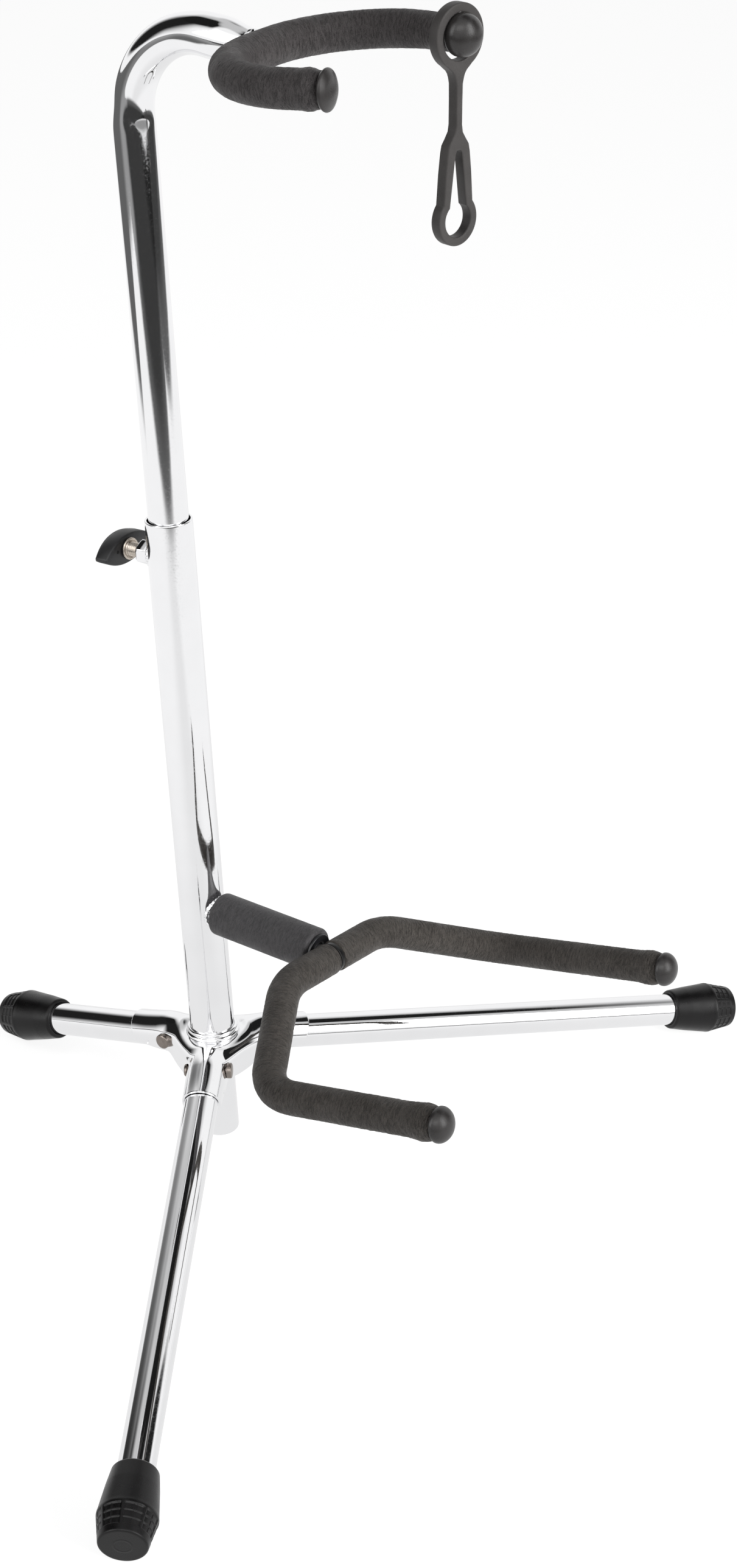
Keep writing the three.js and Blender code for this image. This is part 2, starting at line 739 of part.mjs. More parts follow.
// Legs: each a tube on a rivet through its channel, with a rubber foot on its outer end. The inner
// end is cut round, so that it turns under the channel's roof.
function legTube(rim) {
  const end = rim + footBore - seatGap;
  const start = pivotReach - channelInner;
  const outside = along(bar(legRadius, start, end), v(1, 0, 0));
  const inside = along(bar(legRadius - legWall, start - cutOverrun, end + cutOverrun), v(1, 0, 0));
  const knuckle = new THREE.SphereGeometry(channelInner - seatGap, roundSides, roundSides);
  const keepRound = toSolid(moved(knuckle, pivotReach, 0, 0));
  const rest = new THREE.BoxGeometry(end, legDiameter * 2, legDiameter * 2);
  const keepRest = toSolid(moved(rest, pivotReach + end / 2, 0, 0));
  const hole = bar(rivetDiameter / 2 + seatGap, -legDiameter, legDiameter, smallSides);
  const pin = toSolid(moved(along(hole, backward), pivotReach, 0, 0));
  const tube = toSolid(outside).subtract(toSolid(inside));
  return tube.intersect(keepRound.add(keepRest)).subtract(pin);
}

function legRivet() {
  const radius = rivetDiameter / 2;
  const head = rivetHead / 2;
  const inner = channelOuter + seatGap;
  const outer = inner + rivetHeadThick;
  const rivet = turned([
    [0, -outer],
    [head * 0.8, -outer],
    [head, -inner - rivetHeadThick / 2],
    [head, -inner],
    [radius, -inner],
    [radius, inner],
    [head, inner],
    [head, inner + rivetHeadThick / 2],
    [head * 0.8, outer],
    [0, outer],
  ], smallSides);
  return toSolid(moved(along(rivet, backward), pivotReach, 0, 0));
}

// A foot about the leg's X axis: a slim rim, a wide waist band and a blunt end.
function rubberFoot(rim) {
  const wide = footWide / 2;
  const end = footEnd / 2;
  const bore = legRadius + seatGap;
  const profile = [
    [0, footLength],
    [end - footEdge, footLength],
    [end, footLength - footEdge],
    [wide - footEdge * 0.35, footWideAt + footEdge],
    [wide, footWideAt],
    [wide - footEdge * 0.3, footWideAt - footEdge],
    [footRim / 2 + (wide - footRim / 2) * 0.42, footWideAt * 0.42],
    [footRim / 2, footEdge / 2],
    [footRim / 2 - footEdge / 3, 0],
    [bore, 0],
    [bore, footBore],
    [0, footBore],
  ];
  const foot = toSolid(turned(profile.reverse()));
  return placed(foot, v(rim, 0, 0), v(1, 0, 0));
}

// The floor is set so that the lowest foot loses only a thin worn flat.
const legRims = { rear: rearLegRim, left: frontLegRim, right: frontLegRim };
stand.updateMatrixWorld(true);
const footSolids = {};
for (const [name, turn] of Object.entries(legTurns)) {
  const matrix = leaning.matrixWorld.clone().multiply(legMatrix(turn));
  footSolids[name] = rubberFoot(legRims[name]).transform(matrix.elements);
}
const lowest = Math.max(...Object.values(footSolids).map((foot) => foot.boundingBox().min[2]));
const floor = lowest + footFlat;

function makeLegs() {
  const reach = frontLegRim * 4;
  const below = new THREE.BoxGeometry(reach, reach, reach).translate(0, 0, floor - reach / 2);
  const underfloor = toSolid(below);
  for (const [name, turn] of Object.entries(legTurns)) {
    const matrix = legMatrix(turn).elements;
    named("leg_tube_" + name, "chrome", legTube(legRims[name]).transform(matrix), leaning);
    named("leg_rivet_" + name, "nickel", legRivet().transform(matrix), leaning);
    named("rubber_foot_" + name, "rubber", footSolids[name].subtract(underfloor), stand);
  }
}
makeLegs();

// Stub: a short tube welded to the front of the lower tube, with a foam sleeve and a swivel bush
const stub = new THREE.Group();
stub.position.z = stubHeight;
stub.rotation.x = stubDrop;
leaning.add(stub);
const stubRadius = stubDiameter / 2;
const cradleRodRadius = cradleRodDiameter / 2;
const bushHole = cradleRodRadius + seatGap;

// Lays a solid made about +Z along the stub's forward axis.
function turnForward(solid) {
  return solid.rotate([90, 0, 0]);
}

function makeStub() {
  const start = lowerRadius - cutOverrun;
  const end = stubFoamEnd - bushProud;
  const weld = stubRadius + stubWeld;
  const outside = toSolid(turned([
    [0, start],
    [weld, start],
    [weld, lowerRadius + stubWeld * 0.25],
    [stubRadius, lowerRadius + stubWeld * 0.65],
    [stubRadius, end],
    [0, end],
  ]));
  const boreRadius = stubRadius - stubWall;
  const inside = toSolid(bar(boreRadius, start - cutOverrun, end + cutOverrun));
  const post = toSolid(bar(lowerRadius + seatGap, -stubHeight, stubHeight));
  const tilt = THREE.MathUtils.radToDeg(stubDrop);
  const tube = turnForward(outside.subtract(inside)).subtract(post.rotate([-tilt, 0, 0]));
  named("cradle_stub_tube", "chrome", tube, stub);
  const lip = foamLip;
  const foamOuter = stubFoamDiameter / 2;
  const foamInner = stubRadius + seatGap;
  const sleeve = turned([
    [foamInner, stubFoamStart],
    [foamOuter - lip, stubFoamStart],
    [foamOuter, stubFoamStart + lip],
    [foamOuter, stubFoamEnd - lip],
    [foamOuter - lip * 0.3, stubFoamEnd - lip * 0.3],
    [foamOuter - lip, stubFoamEnd],
    [foamInner, stubFoamEnd],
    [foamInner, stubFoamStart],
  ]);
  named("stub_foam", "stubFoam", turnForward(toSolid(sleeve)), stub);
  const bushOuter = boreRadius - seatGap;
  const flange = bushFlangeDiameter / 2;
  const flangeBack = stubFoamEnd + seatGap;
  const flangeFront = flangeBack + bushProud;
  const bush = turned([
    [bushHole, end - bushLength],
    [bushOuter, end - bushLength],
    [bushOuter, flangeBack],
    [flange, flangeBack],
    [flange, flangeFront - bushProud * 0.6],
    [flange - bushProud * 0.6, flangeFront],
    [bushHole + bushProud * 0.6, flangeFront],
    [bushHole, flangeBack],
    [bushHole, end - bushLength],
  ]);
  named("stub_bush", "plastic", turnForward(toSolid(bush)), stub);
}
makeStub();

// Cradle: a bent rod on a shank that turns in the bush, two foam sleeves, a ring and two caps
const cradle = new THREE.Group();
cradle.position.y = -cradleReach;
cradle.rotation.y = cradleTurn;
stub.add(cradle);
const cradleFoamRadius = cradleFoamDiameter / 2;
const ringLeft = -ringThick;
const ringRight = 0;

function cradleCorners(side) {
  return [
    v(0, 0, 0),
    v(side * cradleHalfBack, 0, 0),
    v(side * cradleHalfWidth, -cradleCornerReach, -cradleCornerDrop),
    v(side * cradleHalfWidth, -cradleArmReach, 0),
  ];
}

// One side of the cradle from a given place on the back run, its end made longer by a length.
function cradlePath(side, from, longer) {
  const corners = cradleCorners(side);
  corners[0].x = from;
  const end = corners[3];
  end.addScaledVector(end.clone().sub(corners[2]).normalize(), longer);
  return BentPath.through(corners, [cradleBackBend, cradleCornerBend]);
}

const cradleCap = {
  radius: cradleCapDiameter / 2,
  backRadius: cradleCapDiameter / 2,
  neckRadius: cradleCapDiameter / 2 - capNeckLength,
  neck: capNeckLength,
  rim: cradleCapRim,
  dome: cradleCapDome,
  hole: cradleRodRadius + seatGap,
  socket: cradleCapSocket,
};

// Room for the shank behind the cradle's back run.
function shankHoleSolid() {
  const hole = bar(cradleRodRadius + seatGap, -foamDiameter, 0, smallSides);
  return turnForward(toSolid(hole));
}

function makeCradleSide(name, side, from) {
  const outer = swept(cradlePath(side, from, -foamLip), cradleFoamRadius);
  const end = cradlePath(side, from, 0).end();
  const lip = placed(foamLipSolid(cradleFoamRadius), end.point, end.tangent);
  const hole = cradleRodRadius + seatGap;
  const bore = swept(cradlePath(side, from - side * cutOverrun, cutOverrun), hole, smallSides);
  const foam = outer.add(lip).subtract(bore).subtract(shankHoleSolid());
  named("cradle_foam_" + name, "armFoam", foam, cradle);
  named("cradle_cap_" + name, "rubber", placed(capSolid(cradleCap), end.point, end.tangent), cradle);
}

function makeCradle() {
  const rodLonger = cradleCapSocket - seatGap;
  const shankEnd = cradleReach - stubFoamEnd + bushLength;
  const shank = turnForward(toSolid(bar(cradleRodRadius, -shankEnd, 0, smallSides)));
  const left = swept(cradlePath(-1, cradleHalfBack / 4, rodLonger), cradleRodRadius, smallSides);
  const right = swept(cradlePath(1, -cradleHalfBack / 4, rodLonger), cradleRodRadius, smallSides);
  named("cradle_rod", "steel", left.add(right).add(shank), cradle);
  makeCradleSide("left", -1, ringLeft - seatGap);
  makeCradleSide("right", 1, ringRight + seatGap);
  const hole = cradleRodRadius + seatGap;
  const ring = turned([
    [hole, ringLeft],
    [ringDiameter / 2, ringLeft],
    [ringDiameter / 2, ringRight],
    [hole, ringRight],
    [hole, ringLeft],
  ]);
  const open = placed(toSolid(ring), v(0, 0, 0), v(1, 0, 0)).subtract(shankHoleSolid());
  named("cradle_ring", "rubber", open, cradle);
}
makeCradle();

// Set the part on the floor with its footprint centred on the origin.
stand.updateMatrixWorld(true);
const box = new THREE.Box3().setFromObject(stand, true);
const shift = v(-(box.min.x + box.max.x) / 2, -(box.min.y + box.max.y) / 2, -floor);
stand.position.copy(shift);

export default stand;
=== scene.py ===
"""Guitar stand: chromed tubes and pressings, wrinkled foam sleeves, moulded rubber and plastic.

Shapes are worked out in millimetres in the post's own frame, where the post is the Z axis, the
front is -Y and the collar's bead is at height 0. POST takes them to the part's frame in metres.
"""

import json
import math

import bpy
import numpy as np
from mathutils import Matrix, Vector, noise


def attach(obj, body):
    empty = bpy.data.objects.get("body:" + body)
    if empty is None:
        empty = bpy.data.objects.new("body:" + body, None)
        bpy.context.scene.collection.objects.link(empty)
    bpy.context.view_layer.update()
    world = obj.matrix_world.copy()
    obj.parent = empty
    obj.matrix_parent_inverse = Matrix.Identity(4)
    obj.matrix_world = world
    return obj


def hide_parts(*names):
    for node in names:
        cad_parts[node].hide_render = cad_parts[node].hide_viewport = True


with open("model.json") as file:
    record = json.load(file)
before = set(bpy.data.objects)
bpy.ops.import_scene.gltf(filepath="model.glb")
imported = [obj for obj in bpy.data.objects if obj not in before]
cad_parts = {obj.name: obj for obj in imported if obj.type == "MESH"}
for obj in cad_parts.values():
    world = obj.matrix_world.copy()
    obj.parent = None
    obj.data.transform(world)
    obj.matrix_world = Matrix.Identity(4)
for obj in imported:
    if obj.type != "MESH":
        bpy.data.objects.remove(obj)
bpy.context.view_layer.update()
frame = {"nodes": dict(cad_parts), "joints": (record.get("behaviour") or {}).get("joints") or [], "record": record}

# The post's frame
LEAN = math.radians(6.7)
CLAMP_HEIGHT = 288
turn_back = Matrix.Rotation(-LEAN, 4, "X")
clamp_place = next(j for j in frame["joints"] if j["name"] == "clamp_turn")["pos_m"]
BEAD_PLACE = Vector(clamp_place) - turn_back @ Vector((0, 0, CLAMP_HEIGHT / 1000))
POST = Matrix.Translation(BEAD_PLACE) @ turn_back @ Matrix.Scale(0.001, 4)

# Turns that lay a form made about +Z along +X, +Y or, forwards, -Y
ON_X = Matrix.Rotation(math.pi / 2, 4, "Y")
ON_Y = Matrix.Rotation(-math.pi / 2, 4, "X")
FORWARDS = Matrix.Rotation(math.pi / 2, 4, "X")

# Fits and fineness
GAP = 0.3
AROUND = 96
FINE_AROUND = 128
FOAM_STEP = 0.55
MERGE = 0.002
POLE = 0.0005

# Post, yoke, clamp
KNOB_TURN = math.radians(174)
LOWER_RADIUS = 12.7
LOWER_WALL = 1.2
LOWER_HEIGHT = 310
SPIGOT_RADIUS = 10.5
SPIGOT_BELOW = 68
SWAGE_TOP = -14
SWAGE_BOTTOM = -23
UPPER_RADIUS = 10.75
UPPER_FOOT = 110
UPPER_STRAIGHT = 516.6
NECK_BEND = 44.75
NECK_DROP = math.radians(8.4)
NECK_REACH = 32.2
YOKE_FOAM = 9.1
YOKE_ROD = 4.75
YOKE_HALF_BASE = 7.65
YOKE_RADIUS = 50.8
YOKE_SWEEP = math.radians(101)
YOKE_ARM_END = 16
YOKE_ROLL = math.radians(2.4)

# Strap
STRAP_LENGTH = 86.3
STRAP_DEPTH = 6
STRAP_EDGE = 0.8
STRAP_HOLE = 10.3
STRAP_BACK = 4.5
STRAP_LEAN = math.radians(4)

# Hub and legs
HUB_DROP = 5.4
LEG_SPREAD = math.radians(59.2)
LEG_DIP = math.radians(12.5)
LEG_RADIUS = 9.525
LEG_WALL = 1.2
PIVOT = 28.5
LEG_PAST_PIVOT = 3
LEG_RIMS = {"rear": 121.7, "left": 301.6, "right": 301.6}
FRONT = -math.pi / 2
LEG_TURNS = {"rear": -FRONT, "left": FRONT - LEG_SPREAD, "right": FRONT + LEG_SPREAD}
FOOT_BORE = 34
HUB_STEP = 0.55
HUB_SHEET = 1.25
HUB_MOUTH = 52.9
CHANNEL_WIDE = 11.3
CHANNEL_TALL = 12.3
COLLAR_RADIUS = 13.7
COLLAR_BORE = 13

# Stub and cradle
STUB_HEIGHT = 79.2
STUB_DROP = math.radians(3.3)
STUB_RADIUS = 8
STUB_WALL = 1.5
STUB_FOAM = 12.1
FOAM_START = 13.4
FOAM_END = 80.5
CRADLE_REACH = 91.9
CRADLE_TURN = math.radians(5.5)
CRADLE_FOAM = 8.8
CRADLE_ROD = 4
HALF_BACK = 43.2
HALF_WIDTH = 108.5
CORNER_REACH = 38.7
CORNER_DROP = 23
ARM_REACH = 139.5
CRADLE_LONGER = 3.6
BACK_BEND = 40
CORNER_BEND = 27


# Node trees

class Socket:
    """A node's output, for writing sums and products of node values."""

    def __init__(self, tree, link):
        self.tree = tree
        self.link = link

    def __add__(self, other):
        return self.tree.math("ADD", self, other)

    def __mul__(self, other):
        return self.tree.math("MULTIPLY", self, other)

    def __rsub__(self, other):
        return self.tree.math("SUBTRACT", other, self)

    __radd__ = __add__
    __rmul__ = __mul__


class Tree:
    """The nodes of a material or of the world."""

    def __init__(self, owner):
        owner.use_nodes = True
        self.tree = owner.node_tree

    def node(self, kind, inputs=None, outlet=0, **settings):
        """Adds a node, fills its inputs with sockets or numbers, and gives one of its outputs."""
        made = self.tree.nodes.new("ShaderNode" + kind)
        for key, value in settings.items():
            setattr(made, key, value)
        for key, value in (inputs or {}).items():
            self.put(made.inputs[key], value)
        return Socket(self, made.outputs[outlet])

    def put(self, inlet, value):
        if isinstance(value, Socket):
            self.tree.links.new(value.link, inlet)
        else:
            inlet.default_value = value

    def math(self, operation, *values):
        return self.node("Math", dict(enumerate(values)), operation=operation)

    def ramp(self, value, low, high, start=0.0, end=1.0):
        """A smooth change from start to end as a value goes from low to high."""
        inputs = {"Value": value, 1: low, 2: high, 3: start, 4: end}
        return self.node("MapRange", inputs, interpolation_type="SMOOTHSTEP")

    def band(self, value, low, in_from, in_to, high):
        """One inside a range, fading to nothing over its edges."""
        return self.ramp(value, low, in_from) * self.ramp(value, high, in_to)

    def blend(self, share, first, second):
        """A colour between two others."""
        inputs = {0: share, 6: first, 7: second}
        return self.node("Mix", inputs, outlet=2, data_type="RGBA")

    def grain(self, place, scale, detail=2.0, roughness=0.5, distortion=0.0):
        inputs = {"Vector": place, "Scale": scale, "Detail": detail, "Roughness": roughness}
        return self.node("TexNoise", {**inputs, "Distortion": distortion})

    def stretched(self, place, scales):
        return self.node("VectorMath", {0: place, 1: scales}, operation="MULTIPLY")


class Look(Tree):
    """A material made on the Principled shader."""

    def __init__(self, name, **sockets):
        self.material = bpy.data.materials.new(name)
        super().__init__(self.material)
        self.shader = self.tree.nodes["Principled BSDF"]
        for key, value in sockets.items():
            self.shader.inputs[key.replace("_", " ")].default_value = value
        self.place = self.node("TexCoord", outlet=3)

    def set(self, key, value):
        self.put(self.shader.inputs[key], value)

    def bump(self, height, depth, strength=1.0):
        inputs = {"Strength": strength, "Distance": depth, "Height": height}
        self.set("Normal", self.node("Bump", inputs))


def colour(r, g, b):
    return (r, g, b, 1.0)


def chrome_look(name, polished, hazy):
    look = Look(name, Metallic=1.0)
    haze = look.grain(look.place, 60, 3)
    tint = look.blend(haze, colour(0.86, 0.86, 0.87), colour(0.91, 0.91, 0.92))
    look.set("Base Color", tint)
    specks = look.grain(look.place, 900, 3)
    look.set("Roughness", look.ramp(specks, 0.4, 0.8, polished, hazy))
    look.bump(look.grain(look.place, 35, 1), 0.0004, 0.12)
    return look.material


def nickel_look(name, dark, light):
    look = Look(name, Metallic=1.0)
    haze = look.grain(look.place, 300, 3)
    look.set("Base Color", look.blend(haze, dark, light))
    look.set("Roughness", look.ramp(haze, 0.3, 0.7, 0.22, 0.36))
    look.bump(look.grain(look.place, 1400, 2), 0.0001, 0.3)
    return look.material


def steel_look():
    look = Look("steel", Metallic=1.0, Roughness=0.4)
    drawn = look.grain(look.stretched(look.place, (900, 900, 40)), 1, 3)
    look.set("Base Color", look.blend(drawn, colour(0.42, 0.42, 0.43), colour(0.56, 0.56, 0.57)))
    look.set("Roughness", look.ramp(drawn, 0.3, 0.7, 0.32, 0.48))
    return look.material


def foam_look(name, dark, light, crease):
    """Closed-cell foam: short wrinkles round the sleeve, in patches, under a fine grain; painted shade darkens the
    wrinkles' troughs and a painted highlight lightens their ridges.
    """
    look = Look(name, Specular_IOR_Level=0.24)
    along = look.node("Attribute", outlet=1, attribute_name="sleeve")
    short = look.grain(look.stretched(along, (300, 300, 1250)), 1, 3, 0.62, 0.5)
    patches = look.grain(along, 75, 2)
    pores = look.grain(look.place, 2600, 2)
    wrinkles = short * look.ramp(patches, 0.34, 0.64, 0.62, 1.0)
    # The colour follows the wrinkles' heights: painted shade in their troughs and a painted highlight on their
    # ridges; the pores give the foam's own random tone.
    share = look.ramp(short * 0.6 + pores * 0.4, 0.36, 0.6)
    look.set("Base Color", look.blend(share, dark, light))
    look.set("Roughness", look.ramp(patches, 0.35, 0.65, 0.44, 0.58))
    look.bump(wrinkles * crease + pores * 0.25, 0.0011)
    return look.material


def rubber_look(name, dark, light, roughness, gloss=0.26):
    """Moulded rubber: a fine matt grain, with faint broad patches."""
    look = Look(name, Specular_IOR_Level=gloss)
    patches = look.grain(look.place, 90, 3)
    fine = look.grain(look.place, 2600, 2)
    look.set("Base Color", look.blend(patches * 0.6 + fine * 0.4, dark, light))
    look.set("Roughness", look.ramp(patches, 0.3, 0.7, roughness - 0.05, roughness + 0.07))
    look.bump(fine, 0.0001, 0.5)
    return look.material


def plastic_look(name, dark, light, roughness, hole=None):
    """Moulded plastic, with a painted black spot standing in for the shade inside a small hole, at a place if one
    is given.
    """
    look = Look(name)
    cloud = look.grain(look.place, 140, 3)
    tint = look.blend(cloud, dark, light)
    rough = look.ramp(cloud, 0.3, 0.7, roughness, roughness + 0.09)
    # Painted shade: a black spot at the hole stands in for the shade inside it.
    if hole:
        away = look.node("VectorMath", {0: look.place, 1: hole}, outlet=1, operation="DISTANCE")
        clear_of_hole_shade = look.ramp(away, 0.0008, 0.00115)
        tint = look.blend(clear_of_hole_shade, colour(0.001, 0.001, 0.001), tint)
        rough = look.math("MAXIMUM", rough, 1 - clear_of_hole_shade)
    look.set("Base Color", tint)
    look.set("Roughness", rough)
    look.bump(look.grain(look.place, 1800, 2), 0.00008, 0.35)
    return look.material


LOOKS = {
    "chrome": chrome_look("chrome", 0.035, 0.1),
    "nickel": nickel_look("nickel", colour(0.50, 0.45, 0.39), colour(0.68, 0.61, 0.54)),
    "steel": steel_look(),
    "cradle_foam": foam_look(
        "cradle_foam", colour(0.03, 0.027, 0.0245), colour(0.088, 0.079, 0.071), 1.7
    ),
    "yoke_foam": foam_look(
        "yoke_foam", colour(0.026, 0.0235, 0.0235), colour(0.08, 0.073, 0.073), 1.4
    ),
    "stub_foam": foam_look(
        "stub_foam", colour(0.045, 0.0435, 0.045), colour(0.085, 0.082, 0.085), 0.15
    ),
    "rubber": rubber_look("rubber", colour(0.004, 0.0038, 0.004), colour(0.0085, 0.008, 0.0082), 0.3),
    "black_plastic": plastic_look(
        "black_plastic", colour(0.006, 0.006, 0.007), colour(0.014, 0.014, 0.016), 0.3
    ),
}
SATIN = chrome_look("satin_chrome", 0.05, 0.15)
DULL = nickel_look("dull_nickel", colour(0.17, 0.145, 0.13), colour(0.30, 0.265, 0.24))
STRAP = rubber_look("strap_rubber", colour(0.036, 0.034, 0.033), colour(0.085, 0.08, 0.078), 0.44)
CAP = rubber_look("cap_rubber", colour(0.014, 0.013, 0.013), colour(0.036, 0.033, 0.032), 0.28, 0.45)


# Forms in millimetres, which become pieces

def piece(name, form, look, body, place=POST, nodes=()):
    """Takes a form to its place, smooth shades it, and gives it its finish and its body."""
    form.name = form.data.name = name
    form.data.transform(place)
    form.data.shade_smooth()
    form.data.materials.clear()
    form.data.materials.append(look if isinstance(look, bpy.types.Material) else LOOKS[look])
    if nodes:
        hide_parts(*nodes)
    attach(form, body)


def form_of(mesh):
    form = bpy.data.objects.new("form", mesh)
    bpy.context.scene.collection.objects.link(form)
    return form


def joined_up(points, faces):
    """A form over points, with faces that name their points by number."""
    mesh = bpy.data.meshes.new("form")
    mesh.from_pydata([tuple(p) for p in points], [], faces)
    mesh.validate()
    return form_of(mesh)


def loft(rings, looped=False):
    """A form over rings of equal count. Its ends close with a face each, or join up."""
    rings = [np.asarray(ring, float) for ring in rings]
    count = len(rings[0])
    points = np.concatenate(rings)
    pairs = [(i, i + 1) for i in range(len(rings) - 1)]
    if looped:
        pairs.append((len(rings) - 1, 0))
    faces = []
    for a, b in pairs:
        for j in range(count):
            k = (j + 1) % count
            faces.append((a * count + j, a * count + k, b * count + k, b * count + j))
    if not looped:
        faces.append(tuple(reversed(range(count))))
        last = (len(rings) - 1) * count
        faces.append(tuple(range(last, last + count)))
    return joined_up(points, faces)


def circle(radius, height, around=AROUND):
    a = np.arange(around) * 2 * math.pi / around
    radius = np.broadcast_to(radius, a.shape)
    return np.stack([radius * np.cos(a), radius * np.sin(a), np.full(around, height)], 1)


def rounded(profile, steps=4):
    """A profile of (radius, height, rounding), with each corner turned into an arc."""
    corners = [np.array(p[:2], float) for p in profile]
    roundings = [p[2] if len(p) > 2 else 0 for p in profile]
    made = []
    for i, (corner, size) in enumerate(zip(corners, roundings)):
        if size == 0 or i in (0, len(corners) - 1):
            made.append(corner)
            continue
        before = corners[i - 1] - corner
        after = corners[i + 1] - corner
        size = min(size, np.linalg.norm(before) * 0.49, np.linalg.norm(after) * 0.49)
        start = corner + before / np.linalg.norm(before) * size
        end = corner + after / np.linalg.norm(after) * size
        for k in range(steps + 1):
            t = k / steps
            made.append(start * (1 - t) ** 2 + corner * 2 * t * (1 - t) + end * t**2)
    return held(made)


def held(profile, long=6, inset=0.5):
    """Adds a point near each end of a long run, so that the roundings don't tilt its shading."""
    made = [profile[0]]
    for a, b in zip(profile, profile[1:]):
        length = np.linalg.norm(b - a)
        if length > long:
            step = (b - a) * inset / length
            made += [a + step, b - step]
        made.append(b)
    return made


def lathe(profile, around=AROUND, steps=4):
    """A turned form about +Z: one point is drawn out along the profile, which is then spun."""
    corners = [Vector((radius, 0, height)) for radius, height in rounded(profile, steps)]
    bpy.ops.object.select_all(action="DESELECT")
    bpy.ops.mesh.primitive_plane_add()
    bpy.ops.object.mode_set(mode="EDIT")
    bpy.ops.mesh.merge(type="CENTER")
    bpy.ops.transform.translate(value=corners[0])
    for before, after in zip(corners, corners[1:]):
        bpy.ops.mesh.extrude_region_move(TRANSFORM_OT_translate={"value": after - before})
    bpy.ops.mesh.select_all(action="SELECT")
    bpy.ops.mesh.spin(steps=around, angle=2 * math.pi, center=(0, 0, 0), axis=(0, 0, 1))
    bpy.ops.object.mode_set(mode="OBJECT")
    return welded(bpy.context.active_object)


def welded(form):
    """Merges points that lie together and turns every face outwards."""
    bpy.ops.object.select_all(action="DESELECT")
    form.select_set(True)
    bpy.context.view_layer.objects.active = form
    bpy.ops.object.mode_set(mode="EDIT")
    bpy.ops.mesh.select_all(action="SELECT")
    bpy.ops.mesh.remove_doubles(threshold=MERGE)
    bpy.ops.mesh.normals_make_consistent(inside=False)
    bpy.ops.object.mode_set(mode="OBJECT")
    return form


def place_along(point, direction, parent=POST):
    """Puts a form made about +Z at a point, along a direction."""
    turn = Vector((0, 0, 1)).rotation_difference(Vector(direction)).to_matrix().to_4x4()
    return parent @ Matrix.Translation(point) @ turn


# Paths

def bent(corners, radii, spacing):
    """Points and directions on straight runs joined by round bends, about a spacing apart."""
    corners = [np.array(c, float) for c in corners]
    runs = []
    start = corners[0]
    for i in range(1, len(corners) - 1):
        into = unit(corners[i] - corners[i - 1])
        out = unit(corners[i + 1] - corners[i])
        angle = math.acos(np.clip(into @ out, -1, 1))
        radius = radii[i - 1]
        bend_start = corners[i] - into * radius * math.tan(angle / 2)
        runs.append(straight_run(start, bend_start, spacing))
        runs.append(bend_run(bend_start, into, out, angle, radius, spacing))
        start = runs[-1][0][-1]
    runs.append(straight_run(start, corners[-1], spacing))
    return joined(runs)


def unit(vector):
    return vector / np.linalg.norm(vector)


def straight_run(start, end, spacing):
    length = np.linalg.norm(end - start)
    t = np.linspace(0, 1, max(2, round(length / spacing) + 1))[:, None]
    return start + (end - start) * t, np.repeat([(end - start) / length], len(t), 0)


def bend_run(start, into, out, angle, radius, spacing):
    side = unit(out - into * (out @ into))
    a = np.linspace(0, angle, max(3, round(radius * angle / spacing) + 1))[:, None]
    points = start + into * radius * np.sin(a) + side * radius * (1 - np.cos(a))
    return points, into * np.cos(a) + side * np.sin(a)


def joined(runs):
    points = [runs[0][0]] + [run[0][1:] for run in runs[1:]]
    ways = [runs[0][1]] + [run[1][1:] for run in runs[1:]]
    return np.concatenate(points), np.concatenate(ways)


def lengths(points):
    steps = np.linalg.norm(np.diff(points, axis=0), axis=1)
    return np.concatenate([[0], np.cumsum(steps)])


def sweep(points, ways, rows):
    """A form of rings round a path. A row holds the radius at each point of a ring."""
    angles = around_ring()[:, None]
    side = unit(np.cross(ways[0], [0.3, 0.2, 0.9]))
    rings = []
    for point, way, row in zip(points, ways, rows):
        side = unit(side - way * (side @ way))
        up = np.cross(way, side)
        rings.append(point + row[:, None] * (np.cos(angles) * side + np.sin(angles) * up))
    return loft(rings)


def around_ring():
    return np.arange(AROUND) * 2 * math.pi / AROUND


def ripple(length, seed, period):
    """Noise round one ring of a sleeve, drawn out round it and short along it."""
    spread = 2.2
    row = []
    for a in around_ring():
        spot = Vector((spread * math.cos(a), spread * math.sin(a), length / period + seed))
        row.append(noise.noise(spot))
    return np.array(row)


def sleeve(name, points, ways, radius, bore, look, body, parent, nodes, seed, swell, crease):
    """A foam sleeve on a rod: rounded ends, ring wrinkles, and swellings near places.

    swell holds (place, height, width) along the sleeve, and crease gives the wrinkles' depth at a
    length.
    """
    stations = lengths(points)
    total = stations[-1]
    lip, fine_period, wide_period = 1.8, 1.25, 3.4
    rows = []
    for at in stations:
        edge = min(at, total - at)
        drop = lip - math.sqrt(max(lip**2 - (lip - min(edge, lip)) ** 2, 0))
        grown = sum(height * bell(at, middle, width) for middle, height, width in swell)
        wrinkle = ripple(at, seed, fine_period) * 0.8 + ripple(at, seed + 40, wide_period) * 0.45
        rows.append(radius - drop + grown + crease(at) * min(edge / lip, 1) * wrinkle)
    rows = [np.full(AROUND, bore)] + rows + [np.full(AROUND, bore)]
    order = [0, *range(len(stations)), -1]
    form = sweep(points[order], ways[order], rows)
    unrolled(form, np.array(rows), stations[order] + seed * 10)
    piece(name, form, look, body, parent, nodes)


def unrolled(form, rings, heights):
    """Stores where each point would be on a straight sleeve, for the foam's pattern to follow."""
    angles = around_ring()
    tall = np.repeat(heights[:, None], AROUND, 1)
    spots = np.stack([rings * np.cos(angles), rings * np.sin(angles), tall], 2) / 1000
    attribute = form.data.attributes.new("sleeve", "FLOAT_VECTOR", "POINT")
    attribute.data.foreach_set("vector", spots.astype(np.float32).ravel())


def bell(value, middle, width):
    return math.exp(-(((value - middle) / width) ** 2))


def eased(value, low, high):
    """A smooth rise from nothing to one between two values."""
    t = np.clip((value - low) / (high - low), 0, 1)
    return t * t * (3 - 2 * t)


# Post

